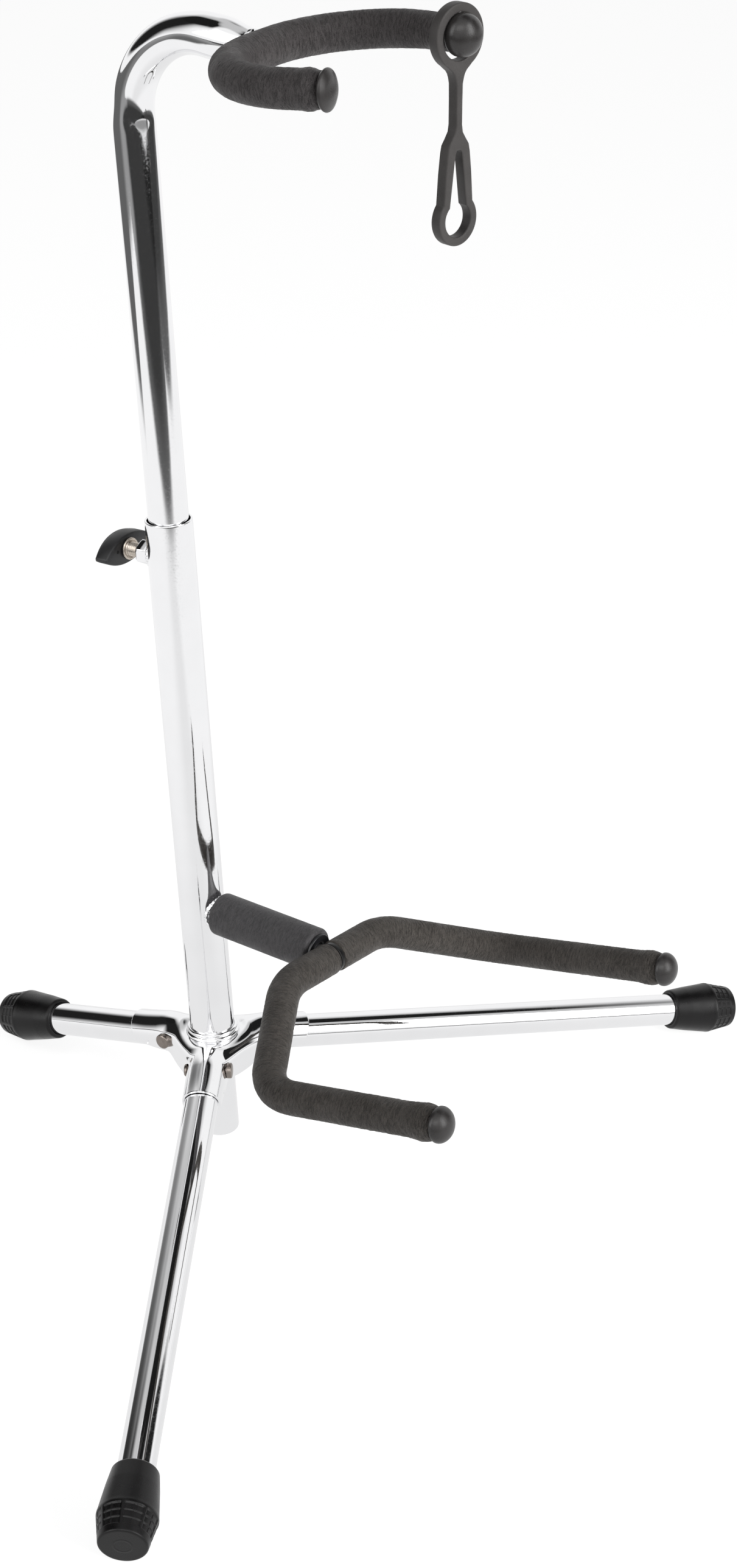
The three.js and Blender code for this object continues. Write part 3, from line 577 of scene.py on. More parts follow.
def make_lower_post():
    inner = LOWER_RADIUS - LOWER_WALL
    spigot_bore = SPIGOT_RADIUS - LOWER_WALL
    rim = LOWER_WALL * 0.45
    floor = -SPIGOT_BELOW + 3
    profile = [
        (0, -SPIGOT_BELOW),
        (SPIGOT_RADIUS, -SPIGOT_BELOW, 3),
        (SPIGOT_RADIUS, SWAGE_BOTTOM, 4),
        (LOWER_RADIUS, SWAGE_TOP, 4),
        (LOWER_RADIUS, LOWER_HEIGHT, rim),
        (inner, LOWER_HEIGHT, rim),
        (inner, SWAGE_TOP, 2),
        (spigot_bore, SWAGE_BOTTOM, 2),
        (spigot_bore, floor, 2),
        (0, floor),
    ]
    form = lathe(profile, FINE_AROUND, steps=6)
    piece("post_lower", form, SATIN, "lower_post", nodes=["lower_post_tube"])


def neck_corners(low, short):
    """The upper tube's path from low to a little short of the yoke's middle, and that middle."""
    forward = np.array([0, -math.cos(NECK_DROP), -math.sin(NECK_DROP)])
    angle = math.pi / 2 + NECK_DROP
    rise = NECK_BEND * math.tan(angle / 2)
    corner = np.array([0, 0, UPPER_STRAIGHT + rise])
    centre = corner + forward * (rise + NECK_REACH)
    return [(0, 0, low), corner, centre - forward * short], centre


def make_upper_post():
    corners, _ = neck_corners(UPPER_FOOT, YOKE_FOAM * 0.62)
    points, ways = bent(corners, [NECK_BEND], 1.5)
    bend_start = UPPER_STRAIGHT - UPPER_FOOT
    bend_end = bend_start + NECK_BEND * (math.pi / 2 + NECK_DROP)
    bend_inside = np.clip(np.cos(around_ring()), 0, 1) ** 3
    thinner, tuck, dent = 0.75, 2.4, 0.9
    rows = []
    stations = lengths(points)
    for s in stations:
        bending = eased(s, bend_start - 4, bend_start + 18) * eased(s, bend_end + 6, bend_end - 18)
        narrower = thinner * bending + tuck * eased(s, stations[-1] - 18, stations[-1])
        rows.append(UPPER_RADIUS - narrower - dent * bell(s, bend_start + 6, 7) * bend_inside)
    piece("post_upper", sweep(points, ways, rows), "chrome", "upper_post", nodes=["upper_post_tube"])


# Yoke

def yoke_path():
    """The hoop from its left end round to its right end."""
    _, centre = neck_corners(0, 0)
    right = np.array([math.cos(YOKE_ROLL), 0, math.sin(YOKE_ROLL)])
    forward = np.array([0, -1.0, 0])
    runs = []
    for side in (-1, 1):
        across = right * side
        a = np.linspace(0, YOKE_SWEEP, round(YOKE_RADIUS * YOKE_SWEEP / FOAM_STEP))[:, None]
        points = centre + across * (YOKE_HALF_BASE + YOKE_RADIUS * np.sin(a))
        points = points + forward * YOKE_RADIUS * (1 - np.cos(a))
        ways = across * np.cos(a) + forward * np.sin(a)
        tail = straight_run(points[-1], points[-1] + ways[-1] * YOKE_ARM_END, FOAM_STEP)
        runs.append(joined([(points, ways), tail]))
    left = (runs[0][0][::-1], -runs[0][1][::-1])
    base = straight_run(left[0][-1], runs[1][0][0], FOAM_STEP)
    return joined([left, base, runs[1]])


def make_yoke():
    points, ways = yoke_path()
    dropped = 7
    points, ways = points[:-dropped], ways[:-dropped]
    total = lengths(points)[-1]
    swell = [(6.5, 0.45, 2.6), (1.6, -0.7, 2.2)]
    swell += [(total - 6.5, -0.3, 2.6), (total - 14, -0.5, 12), (total - 1.6, -0.7, 2.2)]

    def crease(s):
        edge = min(s, total - s)
        return 0.10 + 0.14 * bell(edge, 0, 16) + 0.06 * bell(edge, 70, 30)

    sleeve(
        "neck_foam", points, ways, YOKE_FOAM, YOKE_ROD, "yoke_foam", "upper_post", POST,
        ["yoke_foam"], 3, swell, crease,
    )
    flat = [(0, GAP), (6.5, GAP), (6.5, 0.8, 0.2), (8.9, 0.8, 0.25), (9.75, 2.0, 0.5)]
    flat += [(9.3, 2.9, 0.8), (6.4, 4.5, 2.4), (0, 5.6)]
    full = [(0, GAP), (7.6, GAP), (9.6, 0.7, 0.6), (10.1, 1.9, 0.6)]
    full += [(10.2 * math.cos(a), 4.2 + 8.0 * math.sin(a)) for a in np.linspace(0, 1.54, 16)]
    full += [(0, 12.2)]
    ends = {"left": (points[0], -ways[0], flat), "right": (points[-1], ways[-1], full)}
    for side, (point, way, profile) in ends.items():
        place = place_along(point, way)
        cap = lathe(profile, steps=5)
        piece("neck_cap_" + side, cap, CAP, "upper_post", place, ["yoke_cap_" + side])


# Strap

def flat_form(outlines, depth, edge):
    """A flat outline with holes, raised both ways from its middle and with rounded edges."""
    curve = bpy.data.curves.new("outline", "CURVE")
    curve.dimensions = "2D"
    curve.fill_mode = "BOTH"
    curve.extrude = depth / 2 - edge
    curve.bevel_depth = edge
    curve.bevel_resolution = 3
    curve.offset = -edge
    for outline in outlines:
        spline = curve.splines.new("POLY")
        spline.points.add(len(outline) - 1)
        for point, (x, y) in zip(spline.points, outline):
            point.co = (x, y, 0, 1)
        spline.use_cyclic_u = True
    carrier = bpy.data.objects.new("outline", curve)
    bpy.context.scene.collection.objects.link(carrier)
    shown = carrier.evaluated_get(bpy.context.evaluated_depsgraph_get())
    mesh = bpy.data.meshes.new_from_object(shown)
    bpy.data.objects.remove(carrier)
    return form_of(mesh)


def arc(x, y, radius, start, end, steps):
    a = np.linspace(start, end, steps)
    return [(x + radius * math.cos(t), y + radius * math.sin(t)) for t in a]


def strap_outlines():
    """The strap's outer edge, the hole of its ring, and its keyhole."""
    ring, loop, half, arms = 15.4, 12.6, 2.15, 9.65
    down = -math.pi / 2
    ring_join = math.asin(8 / ring)
    loop_join = math.asin(arms / loop)
    outer = arc(0, 0, ring, down + ring_join, 3 * math.pi / 2 - ring_join, 90)
    left = [(-6.4, -14.5), (-4.7, -15.8), (-3.5, -17.4), (-2.75, -19.4), (-half, -22)]
    left += [(-2.0, -30), (-2.0, -41), (-2.6, -44.5), (-4.6, -47.6), (-6.6, -50.4), (-7.4, -54)]
    left += [(-8.6, -64), (-arms, -STRAP_LENGTH + loop * math.cos(loop_join) + 0.4)]
    outer += left
    outer += arc(0, -STRAP_LENGTH, loop, math.pi / 2 + loop_join, 5 * math.pi / 2 - loop_join, 80)
    outer += [(-x, y) for x, y in reversed(left)]
    hole = arc(0, 0, 11, 0, 2 * math.pi, 81)[:-1]
    inner, narrow, wide = 8.3, 1.9, 5.35
    join = math.asin(wide / inner)
    slot = arc(0, -STRAP_LENGTH, inner, math.pi / 2 + join, 5 * math.pi / 2 - join, 70)
    slot += [(narrow + 0.6, -58), (narrow, -54.2), (narrow * 0.6, -53), (-narrow * 0.6, -53)]
    slot += [(-narrow, -54.2), (-narrow - 0.6, -58)]
    return [outer, hole, slot]


def make_strap():
    strap = flat_form(strap_outlines(), STRAP_DEPTH, STRAP_EDGE)
    points, ways = yoke_path()
    end, way = points[-1], ways[-1]
    up = np.array([0, -math.sin(LEAN), math.cos(LEAN)])
    axis = unit(way - up * (way @ up))
    across = np.cross(up, axis)
    up, axis = (turned_about(across, -STRAP_LEAN, w) for w in (up, axis))
    slope = math.acos(axis @ way)
    top = YOKE_FOAM / math.cos(slope) + STRAP_DEPTH / 2 * math.tan(slope)
    centre = end - way * STRAP_BACK - up * (STRAP_HOLE - top - GAP)
    basis = Matrix([[*row, 0] for row in np.stack([across, up, axis], 1)] + [[0, 0, 0, 1]])
    place = POST @ Matrix.Translation(centre) @ basis
    piece("neck_strap", strap, STRAP, "strap", place, ["retaining_strap"])


def turned_about(axis, angle, vector):
    return np.array(Matrix.Rotation(angle, 3, Vector(axis)) @ Vector(vector))


# Clamp

BEHIND = POST @ Matrix.Translation((0, 0, CLAMP_HEIGHT)) @ ON_Y


def make_clamp():
    make_nut()
    make_bolt()
    make_bead("nut_weld", BEHIND, 6.7, 0.9)
    make_knob()


def make_nut():
    sixth = math.pi / 3
    half_across, bore, floor = 6, 4.3, 12
    hexagon = half_across / np.cos((around_ring() + sixth / 2) % sixth - sixth / 2)
    edges = [(10.2, 9), (19.2, 9), (19.6, 6.85), (20.0, 6.4), (20.3, 5.7), (20.3, bore)]
    rings = [circle(np.minimum(hexagon, most), height) for height, most in edges]
    rings.append(circle(bore, floor))
    piece("clamp_nut_body", loft(rings), "chrome", "lower_post", BEHIND, ["clamp_nut"])


def make_bolt():
    radius, pitch, depth = 4, 1.25, 0.65
    rings = [circle(3.2, 11.05), circle(radius, 12.2)]
    for height in np.arange(12.4, 28.1, 0.12):
        groove = np.abs((height / pitch - around_ring() / (2 * math.pi)) % 1 - 0.5) * 2
        rings.append(circle(radius - depth * groove, height))
    collar = [(radius, 28.2), (4.1, 28.9), (4.6, 28.9), (4.8, 28.2), (5.6, 28.1), (5.95, 28.4)]
    collar += [(5.95, 29.3), (5.6, 29.6), (radius, 29.6), (radius, 35)]
    rings += [circle(*ring) for ring in collar]
    piece("clamp_bolt", loft(rings), "nickel", "clamp", BEHIND, ["clamp_screw"])


def make_knob():
    half_length, half_height, thick, face = 19.4, 7.8, 10, 29.9
    # Where the knob's small hole is, whose dark inside is painted on as painted shade.
    hole_shade_spot = Vector((-8.8, -0.6, face))
    radius = (half_length**2 + half_height**2) / (2 * half_height)
    reach = math.asin(half_length / radius) * 0.95
    turns = np.linspace(-reach, reach, 41)
    tip = half_length * 0.985
    outline = [(radius * math.sin(t), radius * math.cos(t) - radius + half_height) for t in turns]
    outline = outline[::-1] + [(-x, -y) for x, y in outline[::-1]]
    outline = np.array(outline)
    outline[:, 0] = np.clip(outline[:, 0], -tip, tip)

    def ring(inset, height):
        spread = np.linalg.norm(outline, axis=1)[:, None]
        flat = outline * (1 - inset / spread)
        return np.concatenate([flat, np.full((len(flat), 1), float(height))], 1)

    rings = [ring(0.9, face), ring(0.35, face + 0.2), ring(0, face + 0.8)]
    rings += [ring(0, face + thick - 3.2), ring(0.15, face + thick - 2.4)]
    for share in (0.04, 0.1, 0.25, 0.45, 0.65, 0.85, 0.985):
        flat = outline * (1 - share)
        crown = 2.2 * (np.linalg.norm(flat, axis=1) / half_length) ** 2
        rings.append(np.concatenate([flat, (face + thick - 0.15 - crown)[:, None]], 1))
    dark, light = colour(0.008, 0.008, 0.009), colour(0.02, 0.02, 0.021)
    look = plastic_look("knob_plastic", dark, light, 0.4, BEHIND @ hole_shade_spot)
    place = BEHIND @ Matrix.Rotation(KNOB_TURN, 4, "Z")
    piece("clamp_wing", loft(rings), look, "clamp", place, ["clamp_knob"])


# Hub

def leg_frame(turn):
    """X outwards along the leg, Z up across it, from the post's axis."""
    away = Vector((math.cos(turn), math.sin(turn), 0))
    sideways = Vector((-math.sin(turn), math.cos(turn), 0))
    axis = away * math.cos(LEG_DIP) - Vector((0, 0, math.sin(LEG_DIP)))
    across = axis.cross(sideways)
    basis = Matrix((axis, sideways, across)).transposed().to_4x4()
    return Matrix.Translation((0, 0, -HUB_DROP)) @ basis


def lesser(a, b, reach):
    """The lesser of two distances, with the join rounded over a reach."""
    share = np.clip(0.5 + (b - a) / (2 * reach), 0, 1)
    return b + (a - b) * share - reach * share * (1 - share)


def greater(a, b, reach):
    return -lesser(-a, -b, reach)


def hub_field(place):
    """Distances from the pressed hub's surface, less than nothing inside its metal.

    One sheet runs as an arch over all three legs. It flows together between them, dips to the
    collar, and closes in on each leg at its mouth.
    """
    x, y, z = place
    flow, dimple, dimple_side = 22, 1.4, 11.9
    r = np.hypot(x, y)
    height = (z + HUB_DROP) * math.cos(LEG_DIP) + r * math.sin(LEG_DIP)
    side = along = None
    for turn in LEG_TURNS.values():
        u = x * math.cos(turn) + y * math.sin(turn)
        away = np.where(u > 0, np.abs(y * math.cos(turn) - x * math.sin(turn)), r)
        side = away if side is None else lesser(side, away, flow)
        along = u if along is None else np.maximum(along, u)
    closing = eased(along, 30, 56)
    wide = CHANNEL_WIDE - 0.35 * closing
    level = 5.3 + r * math.sin(LEG_DIP) - 1.7 * eased(-r, -22, -14.5)
    tall = lesser(level, CHANNEL_TALL - 0.95 * closing, 1.2)
    over = arch(side, height, wide, tall)
    under = arch(side, height, wide - HUB_SHEET, tall - HUB_SHEET)
    mouth = along - HUB_MOUTH - 0.44 * height
    drop = 3.4 + 3.0 * eased(-r, -52, -30) + 4.9 * eased(-r, -28, -21)
    outer = greater(greater(over, mouth, 0.9), -height - drop, 0.6)
    for turn in LEG_TURNS.values():
        for offset in (dimple_side, -dimple_side):
            spot = leg_frame(turn) @ Vector((43, offset, -2.6))
            reach = np.sqrt((x - spot.x) ** 2 + (y - spot.y) ** 2 + (z - spot.z) ** 2)
            outer = greater(outer, dimple - reach, 0.5)
    collar = np.maximum(r - COLLAR_RADIUS, np.abs(z + 4) - 2.6)
    outer = lesser(outer, collar, 1.5)
    return greater(outer, -np.minimum(r - COLLAR_BORE, under), 0.6)


def arch(side, height, wide, tall):
    """Distances from an arch over straight sides."""
    return np.where(height > 0, np.hypot(side, height * wide / tall), side) - wide


def skin(field, low, high, step):
    """Points and faces on the surface where a field is nothing, and the way out at each point."""
    axes = [np.arange(a, b, step) for a, b in zip(low, high)]
    values = field(np.meshgrid(*axes, indexing="ij"))
    inside = values < 0
    counts = [n - 1 for n in values.shape]
    corners = [(i, j, k) for i in (0, 1) for j in (0, 1) for k in (0, 1)]

    def corner(grid, at):
        return grid[tuple(slice(a, a + n) for a, n in zip(at, counts))]

    filled = sum(corner(inside, at).astype(int) for at in corners)
    mixed = (filled > 0) & (filled < 8)
    number = np.cumsum(mixed).reshape(mixed.shape) - 1
    cells = np.argwhere(mixed)
    total = np.zeros((len(cells), 3))
    crossings = np.zeros(len(cells))
    for at in corners:
        for axis in range(3):
            if at[axis]:
                continue
            to = tuple(1 if a == axis else at[a] for a in range(3))
            first, second = corner(values, at)[mixed], corner(values, to)[mixed]
            crossed = (first < 0) != (second < 0)
            share = np.where(crossed, first / np.where(crossed, first - second, 1), 0)
            spot = np.array(at, float) + np.eye(3)[axis] * share[:, None]
            total += spot * crossed[:, None]
            crossings += crossed
    points = np.array(low) + (cells + total / crossings[:, None]) * step
    faces = [ring_faces(inside, number, axis) for axis in range(3)]
    for _ in range(3):
        slope = slopes(field, points)
        size = np.maximum((slope**2).sum(1), 0.2)
        points = points - slope * (np.clip(field(points.T), -0.2, 0.2) / size)[:, None]
    ways = slopes(field, points)
    return points, np.concatenate(faces), ways / np.linalg.norm(ways, axis=1)[:, None]


def ring_faces(inside, number, axis):
    """A face round each grid line along an axis that passes through the surface."""
    one, two = (axis + 1) % 3, (axis + 2) % 3
    change = np.diff(inside.astype(int), axis=axis)
    trim = [slice(None)] * 3
    trim[one] = trim[two] = slice(1, -1)
    change = change[tuple(trim)]
    faces = []
    for sign in (1, -1):
        base = np.argwhere(change == sign)
        ring = []
        for a, b in ((0, 0), (1, 0), (1, 1), (0, 1)):
            cell = base.copy()
            cell[:, one] += a
            cell[:, two] += b
            ring.append(number[tuple(cell.T)])
        faces.append(np.stack(ring[::-sign], 1))
    return np.concatenate(faces)


def slopes(field, points, reach=0.12):
    ways = []
    for axis in range(3):
        shift = np.eye(3)[axis] * reach
        ways.append((field((points + shift).T) - field((points - shift).T)) / (2 * reach))
    return np.stack(ways, 1)


def make_hub():
    points, faces, ways = skin(hub_field, (-57, -45, -33), (57, 62, 8), HUB_STEP)
    pressing = joined_up(points, faces.tolist())
    piece("hub_pressing", pressing, "chrome", "lower_post", nodes=["hub_bracket"])
    turn = np.array(POST.to_3x3().normalized())
    pressing.data.normals_split_custom_set_from_vertices((ways @ turn.T).tolist())
    foot = -4
    upper = arc(13.2, 1.9, 1.15, 2, -1, 14)
    lower = arc(COLLAR_RADIUS, -0.7, 1.6, 1, -1.2, 12)
    profile = [(COLLAR_BORE, foot), (COLLAR_BORE, 2.6)] + upper + lower
    profile += [(14, foot), (COLLAR_BORE, foot)]
    piece("hub_rings", lathe(profile, FINE_AROUND), SATIN, "lower_post")


# Legs and feet

def make_legs():
    for name, turn in LEG_TURNS.items():
        place = POST @ leg_frame(turn)
        body = name + "_leg"
        start, end = PIVOT - LEG_PAST_PIVOT, LEG_RIMS[name] + FOOT_BORE - GAP
        form = tube(LEG_RADIUS, LEG_WALL, start, end, 0.5)
        piece("leg_" + name, form, "chrome", body, place @ ON_X, ["leg_tube_" + name])
        make_foot(name, place @ Matrix.Translation((LEG_RIMS[name], 0, 0)) @ ON_X, body)
        make_rivet(name, place @ Matrix.Translation((PIVOT, 0, 0)) @ ON_Y)


def tube(radius, wall, start, end, edge):
    """A tube about +Z with rounded outer edges."""
    inner = radius - wall
    outside = [(radius, start, edge), (radius, end, edge)]
    return lathe([(inner, start), *outside, (inner, end), (inner, start)])


def make_rivet(name, place):
    inner, outer, head, shank = 11.5, 14.4, 4.4, 2.5
    profile = [
        (0, -inner - 1.6), (3.2, -inner - 1.5, 0.8), (3.8, -inner, 0.2), (shank, -inner),
        (shank, inner), (head, inner, 0.2), (head, outer - 0.5, 0.3), (head * 0.8, outer, 0.6),
        (0, outer + 0.25),
    ]
    rivet = lathe(profile, 48)
    piece("rivet_" + name, rivet, DULL, "lower_post", place, ["leg_rivet_" + name])


def make_foot(name, place, body):
    length, wide, wide_at, rim, end, start = 44.8, 15.4, 28.4, 12.0, 12.3, 2.6
    bore, bore_end, around, fine = 9.85, 33, 240, 0.28
    outline = rounded([
        (0, length), (4, length), (4.5, length + 0.15), (5, length), (end, length, 1.1),
        (wide, wide_at + 0.8, 1.6), (wide - 0.35, wide_at - 1.2, 0.8),
        (rim + (wide - rim) * 0.42, wide_at * 0.42 + 1), (rim, start + 0.8, 0.8),
        (rim - 0.8, start, 0.4), (bore, start),
    ], 6)
    stations = []
    for a, b in zip(outline, outline[1:]):
        count = max(1, int(np.linalg.norm(b - a) / fine))
        stations += [a + (b - a) * k / count for k in range(count)]
    stations.append(outline[-1])
    degrees = np.degrees(np.arange(around) * 2 * math.pi / around)
    rings = []
    for radius, height in stations:
        radius = max(radius, POLE)
        cut = grip(degrees, height, wide_at + 1.6, length - 4.0)
        rings.append(circle(radius * (1 - cut / max(radius, 1)), height, around))
    rings.append(circle(bore, bore_end, around))
    piece("foot_" + name, welded(loft(rings)), "rubber", body, place, ["rubber_foot_" + name])


def grip(degrees, height, low, high):
    """How deep the moulded grip is cut: panels of three cells between upright ribs."""
    margin, rib, deep, shallow = 0.3, 0.42, 0.55, 0.2
    if not low - margin < height < high + margin:
        return np.zeros(len(degrees))
    cell = (high - low) / 3
    at = (height - low) % cell
    across = 1.0 if rib / 2 < at < cell - rib / 2 else 0.25
    span = degrees % 45
    panel = (span > 3) & (span < 42)
    upright = np.abs(span - 22.5) < 1.4
    depth = np.where(panel, deep * across, 0.0)
    depth = np.where(upright & panel, shallow, depth)
    return depth * min(1.0, max(0.0, min(height - low, high - height) / margin + 0.2))


# Stub

def stub_frame():
    lower = Matrix.Translation((0, 0, STUB_HEIGHT)) @ Matrix.Rotation(STUB_DROP, 4, "X")
    return POST @ lower


def make_stub():
    place = stub_frame() @ FORWARDS
    start, end, edge = 12, FOAM_END - 1.7, 0.4
    bore = STUB_RADIUS - STUB_WALL
    profile = [
        (bore, start), (STUB_RADIUS, start), (STUB_RADIUS, end, edge), (bore, end), (bore, start),
    ]
    piece("stub_tube", lathe(profile), "chrome", "lower_post", place, ["cradle_stub_tube"])
    make_bead("stub_weld", place, STUB_RADIUS + 0.5, 1.25)
    points, ways = straight_run(np.array([0, 0, FOAM_START]), np.array([0, 0, FOAM_END]), FOAM_STEP)
    sleeve(
        "stub_sleeve", points, ways, STUB_FOAM, STUB_RADIUS + GAP, "stub_foam", "lower_post", place,
        ["stub_foam"], 11, [], lambda s: 0.05,
    )
    foot, bore, body, flange = 52, CRADLE_ROD + GAP, 6.2, 9.5
    face, front = FOAM_END + GAP, FOAM_END + GAP + 1.7
    profile = [
        (bore, foot), (body, foot), (body, face), (flange, face, 0.2), (flange, front, 0.8),
        (5.4, front, 0.6), (bore, face + 0.3, 0.3), (bore, foot),
    ]
    piece("stub_bushing", lathe(profile), "black_plastic", "lower_post", place, ["stub_bush"])


def make_bead(name, place, radius, thick):
    """The lumpy weld where a form made about +Z meets the lower post's side."""
    rings = []
    count = 14
    a = np.arange(count)[:, None] * 2 * math.pi / count
    for t in np.radians(np.arange(0, 360, 1.5)):
        lump = noise.noise(Vector((3 * math.cos(t), 3 * math.sin(t), 5)))
        lump += 0.5 * math.cos(t * 22)
        across = radius * math.cos(t)
        along = math.sqrt(max(LOWER_RADIUS**2 - across**2, 1)) + 0.25
        centre = np.array([across, radius * math.sin(t), along])
        outward = unit(np.array([math.cos(t), math.sin(t), 0.55]))
        beyond = np.cross(outward, [-math.sin(t), math.cos(t), 0])
        size = thick * (1 + 0.25 * lump)
        rings.append(centre + size * (np.cos(a) * outward + np.sin(a) * beyond))
    piece(name, welded(loft(rings, looped=True)), "chrome", "lower_post", place)


# Cradle

def cradle_frame():
    at = Matrix.Translation((0, -CRADLE_REACH, 0)) @ Matrix.Rotation(CRADLE_TURN, 4, "Y")
    return stub_frame() @ at


def cradle_path(side, start):
    corners = [
        (start, 0, 0),
        (side * HALF_BACK, 0, 0),
        (side * HALF_WIDTH, -CORNER_REACH, -CORNER_DROP),
        (side * HALF_WIDTH, -ARM_REACH - CRADLE_LONGER, 0),
    ]
    return bent(corners, [BACK_BEND, CORNER_BEND], FOAM_STEP)


def make_cradle():
    place = cradle_frame()
    for name, side, start, seed in (("left", -1, -3.3, 21), ("right", 1, 0.3, 57)):
        points, ways = cradle_path(side, start)
        total = lengths(points)[-1]
        swell = [(total - 7, 0.75, 5), (total - 1.2, -0.6, 2)]

        def crease(s, total=total):
            edge = total - s
            return 0.12 + 0.16 * eased(edge, 90, 10) + 0.1 * bell(edge, 95, 18)

        sleeve(
            "cradle_sleeve_" + name, points, ways, CRADLE_FOAM, CRADLE_ROD, "cradle_foam", "cradle",
            place, ["cradle_foam_" + name], seed, swell, crease,
        )
        profile = [(0, GAP), (8.4, GAP), (8.4, 0.8, 0.3), (9.2, 0.9, 0.3), (9.25, 1.5, 0.3)]
        dome = [(9.3 * math.cos(a), 1.4 + 6.6 * math.sin(a)) for a in np.linspace(0.12, 1.5, 16)]
        cap = lathe(profile + dome + [(0, 8)])
        end = place_along(points[-1], ways[-1], place)
        piece("cradle_end_" + name, cap, CAP, "cradle", end, ["cradle_cap_" + name])
    bore = CRADLE_ROD + GAP
    band = tube(8.2, 8.2 - bore, -3, 0, 0.6)
    piece("cradle_band", band, "rubber", "cradle", place @ ON_X, ["cradle_ring"])


make_lower_post()
make_upper_post()
make_yoke()
make_strap()
make_clamp()
make_hub()
make_legs()
make_stub()
make_cradle()
for subpart in frame["record"]["subparts"]:
    node = frame["nodes"][subpart["node"]]
    node.data.materials.clear()
    node.data.materials.append(LOOKS[subpart["material_slot"]])


# Camera

CAMERA_ANGLES = (-55.473, 29.855, 3.020)
CAMERA_FROM_BEAD = Vector((-0.97859, -0.77272, 0.88037))
SENSOR = 36
FOCAL_PIXELS = 4342.4
PHOTO_HEIGHT = 2576


def make_camera():
    """Stands where the photo was taken from: the angles are azimuth, elevation and roll."""
    azimuth, elevation, roll = (math.radians(a) for a in CAMERA_ANGLES)
    back = Vector((
        math.sin(azimuth) * math.cos(elevation),
        -math.cos(azimuth) * math.cos(elevation),
        math.sin(elevation),
    ))
    right = Vector((math.cos(azimuth), math.sin(azimuth), 0))
    up = back.cross(right)
    turn = Matrix((right, up, back)).transposed() @ Matrix.Rotation(roll, 3, "Z")
    data = bpy.data.cameras.new("camera")
    data.sensor_width = SENSOR
    data.lens = SENSOR * FOCAL_PIXELS / PHOTO_HEIGHT
    data.clip_start, data.clip_end = 0.05, 50
    camera = bpy.data.objects.new("camera", data)
    camera.matrix_world = turn.to_4x4()
    camera.location = BEAD_PLACE + CAMERA_FROM_BEAD
    bpy.context.scene.collection.objects.link(camera)
    bpy.context.scene.camera = camera


make_camera()


# Studio

AWAY = (0.824, 0.567, 0.0)
ASIDE = (0.567, -0.824, 0.0)
FLOOR = -0.0016


def bearings(tree, place):
    """How far a place lies away from the camera and to its right."""
    away = tree.node("VectorMath", {0: place, 1: AWAY}, outlet=1, operation="DOT_PRODUCT")
    aside = tree.node("VectorMath", {0: place, 1: ASIDE}, outlet=1, operation="DOT_PRODUCT")
    return away, aside


def ray_kinds(tree):
    """Whether a ray comes from a shiny surface, and whether from the camera or through glass."""
    camera_ray = tree.node("LightPath", outlet="Is Camera Ray")
    through = tree.node("LightPath", outlet="Is Transmission Ray")
    glossy = tree.node("LightPath", outlet="Is Glossy Ray")
    return glossy, tree.math("MAXIMUM", camera_ray, through)


def make_world():
    """A white studio. Shiny pieces see its black cards and bright boxes, placed in degrees."""
    world = bpy.data.worlds.new("studio")
    bpy.context.scene.world = world
    tree = Tree(world)
    way = tree.node("TexCoord", outlet=0)
    away, aside = bearings(tree, way)
    upward = tree.node("SeparateXYZ", {0: way}, outlet=2)
    bearing = tree.math("ARCTAN2", aside, away) * (180 / math.pi)
    rise = tree.math("ARCSINE", upward) * (180 / math.pi)
    turned = tree.math("ABSOLUTE", bearing)
    left_card = tree.band(bearing, -102, -84, -54, -28) * tree.band(rise, -1, 3, 54, 70)
    top_card = tree.band(bearing, -8, 6, 72, 84) * tree.band(rise, 46, 57, 68, 84)
    leaning = bearing + rise * 0.25
    right_card = tree.band(leaning, 59.5, 61.5, 92, 100) * tree.band(rise, 3, 7, 38, 46)
    skyline = tree.ramp(bearing, 90, 100) * tree.band(rise, -6, -3, 2, 5)
    veil = tree.ramp(rise, 36, 50) * tree.ramp(turned, 110, 90)
    shade = left_card + top_card + right_card + skyline * 0.7 + veil * 0.42
    level = tree.math("MAXIMUM", 1 - shade * 0.985, 0.012)
    front_box = tree.ramp(turned, 140, 156) * tree.band(rise, 30, 36, 50, 57)
    right_box = tree.band(bearing, 98, 103, 124, 130) * tree.band(rise, 4, 9, 44, 52)
    left_box = tree.band(bearing, -134, -128, -108, -102) * tree.band(rise, 4, 9, 44, 52)
    level = level + front_box * 2.2 + right_box * 4.0 + left_box * 2.4
    glossy, direct = ray_kinds(tree)
    plain = tree.node("Mix", {0: glossy, 2: 0.2, 3: level}, outlet=0, data_type="FLOAT")
    strength = tree.node("Mix", {0: direct, 2: plain, 3: 1.0}, outlet=0, data_type="FLOAT")
    back = tree.tree.nodes["Background"]
    back.inputs["Color"].default_value = colour(1, 1, 1)
    tree.put(back.inputs["Strength"], strength)
    world.cycles.sampling_method = "NONE"


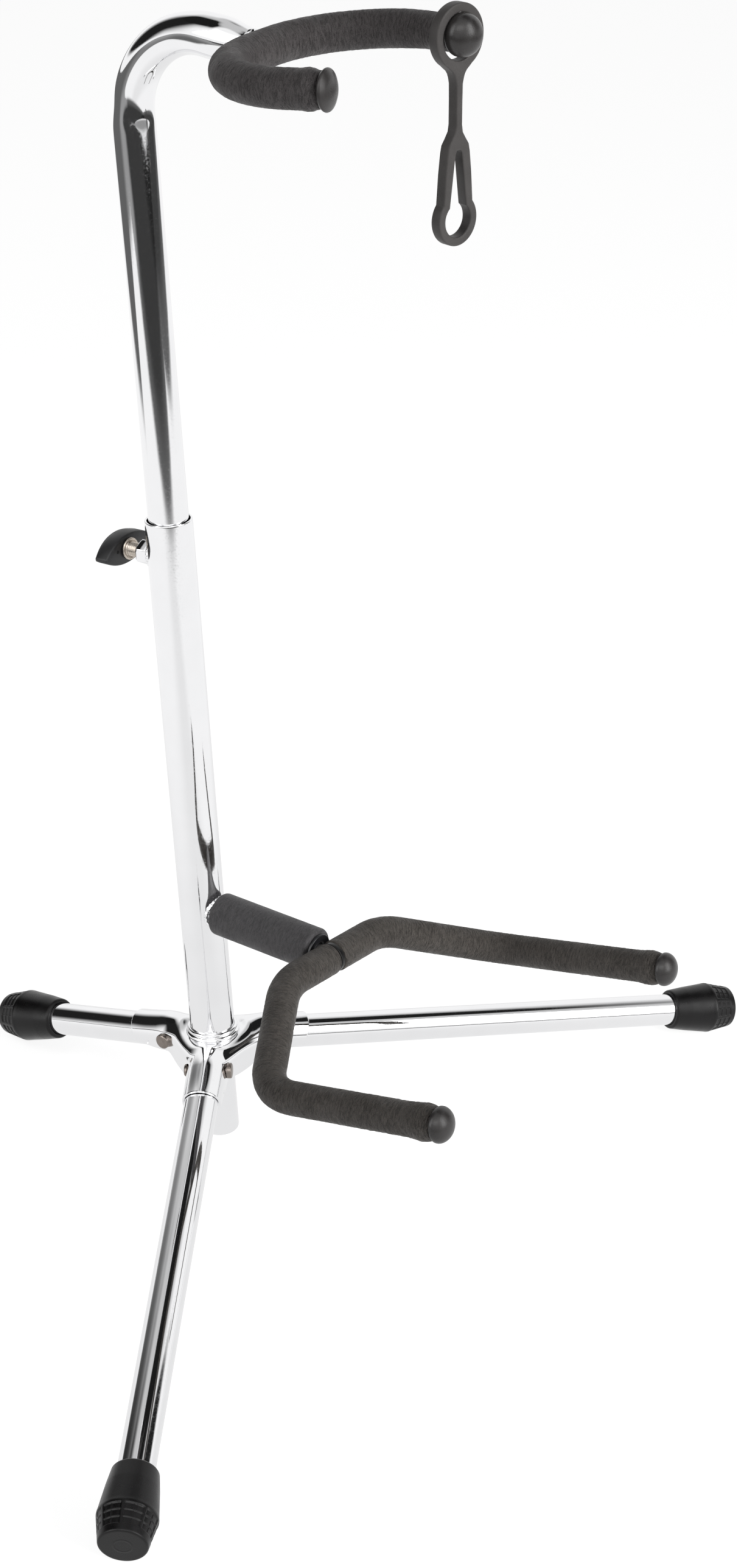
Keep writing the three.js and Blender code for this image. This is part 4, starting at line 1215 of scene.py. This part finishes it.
def make_floor():
    """A white floor that keeps a faint shadow. Shiny pieces see where the white sheet ends."""
    bpy.ops.object.select_all(action="DESELECT")
    bpy.ops.mesh.primitive_plane_add(size=12, location=(0, 0, FLOOR))
    bpy.ops.object.transform_apply()
    floor = bpy.context.active_object
    floor.name = "floor"
    material = bpy.data.materials.new("floor")
    tree = Tree(material)
    away, aside = bearings(tree, tree.node("TexCoord", outlet=3))
    nearer = away * -1.0
    bulge = tree.band(nearer, 0.0, 0.5, 1.1, 1.5) * 0.5
    left_end = tree.ramp(aside + bulge, -0.95, -1.25)
    sheet_end = tree.math("MAXIMUM", tree.ramp(nearer, 1.06, 1.56), tree.ramp(aside, 1.8, 2.5))
    sheet_end = tree.math("MAXIMUM", sheet_end, left_end)
    white_level = tree.ramp(tree.math("ABSOLUTE", aside), 0.1, 0.5, 0.88, 1.0)
    beyond = tree.ramp(nearer, 1.4, 2.1, 0.13, 0.045) * tree.ramp(aside, 2.4, 3.6, 1, 0.4)
    beyond = beyond + tree.band(nearer, 0.2, 1.0, 1.6, 2.2) * tree.ramp(aside, -1.0, -1.4) * 0.2
    seen = white_level * tree.ramp(sheet_end, 0, 1, 1, 0) + beyond * sheet_end
    glow = tree.node("Emission", {"Color": colour(1, 1, 1), "Strength": 0.5})
    sheet = tree.node("BsdfDiffuse", {"Color": colour(0.6, 0.6, 0.6)})
    lit = tree.node("AddShader", {0: sheet, 1: glow})
    mirrored = tree.node("Emission", {"Color": colour(1, 1, 1), "Strength": seen})
    white = tree.node("Emission", {"Color": colour(1, 1, 1), "Strength": 0.88})
    faint = tree.node("BsdfDiffuse", {"Color": colour(0.3, 0.3, 0.3)})
    shadowed = tree.node("AddShader", {0: white, 1: faint})
    glossy, direct = ray_kinds(tree)
    plain = tree.node("MixShader", {0: glossy, 1: lit, 2: mirrored})
    shown = tree.node("MixShader", {0: direct, 1: plain, 2: shadowed})
    tree.put(tree.tree.nodes["Material Output"].inputs["Surface"], shown)
    material.cycles.emission_sampling = "NONE"
    floor.data.materials.append(material)


def make_lamp(name, place, aim, size, power):
    data = bpy.data.lights.new(name, "AREA")
    data.shape = "RECTANGLE"
    data.size, data.size_y = size
    data.energy = power
    lamp = bpy.data.objects.new(name, data)
    lamp.location = place
    lamp.rotation_mode = "QUATERNION"
    lamp.rotation_quaternion = (Vector(aim) - Vector(place)).to_track_quat("-Z", "Y")
    lamp.visible_glossy = False
    bpy.context.scene.collection.objects.link(lamp)


make_world()
make_floor()
make_lamp("top", (-1.2, 0.6, 1.9), (0, 0, 0.25), (1.2, 1.2), 12)
make_lamp("right", (0.2, -2.1, 0.95), (0, 0, 0.25), (1.4, 1.0), 46)
bpy.context.scene.view_settings.view_transform = "Standard"
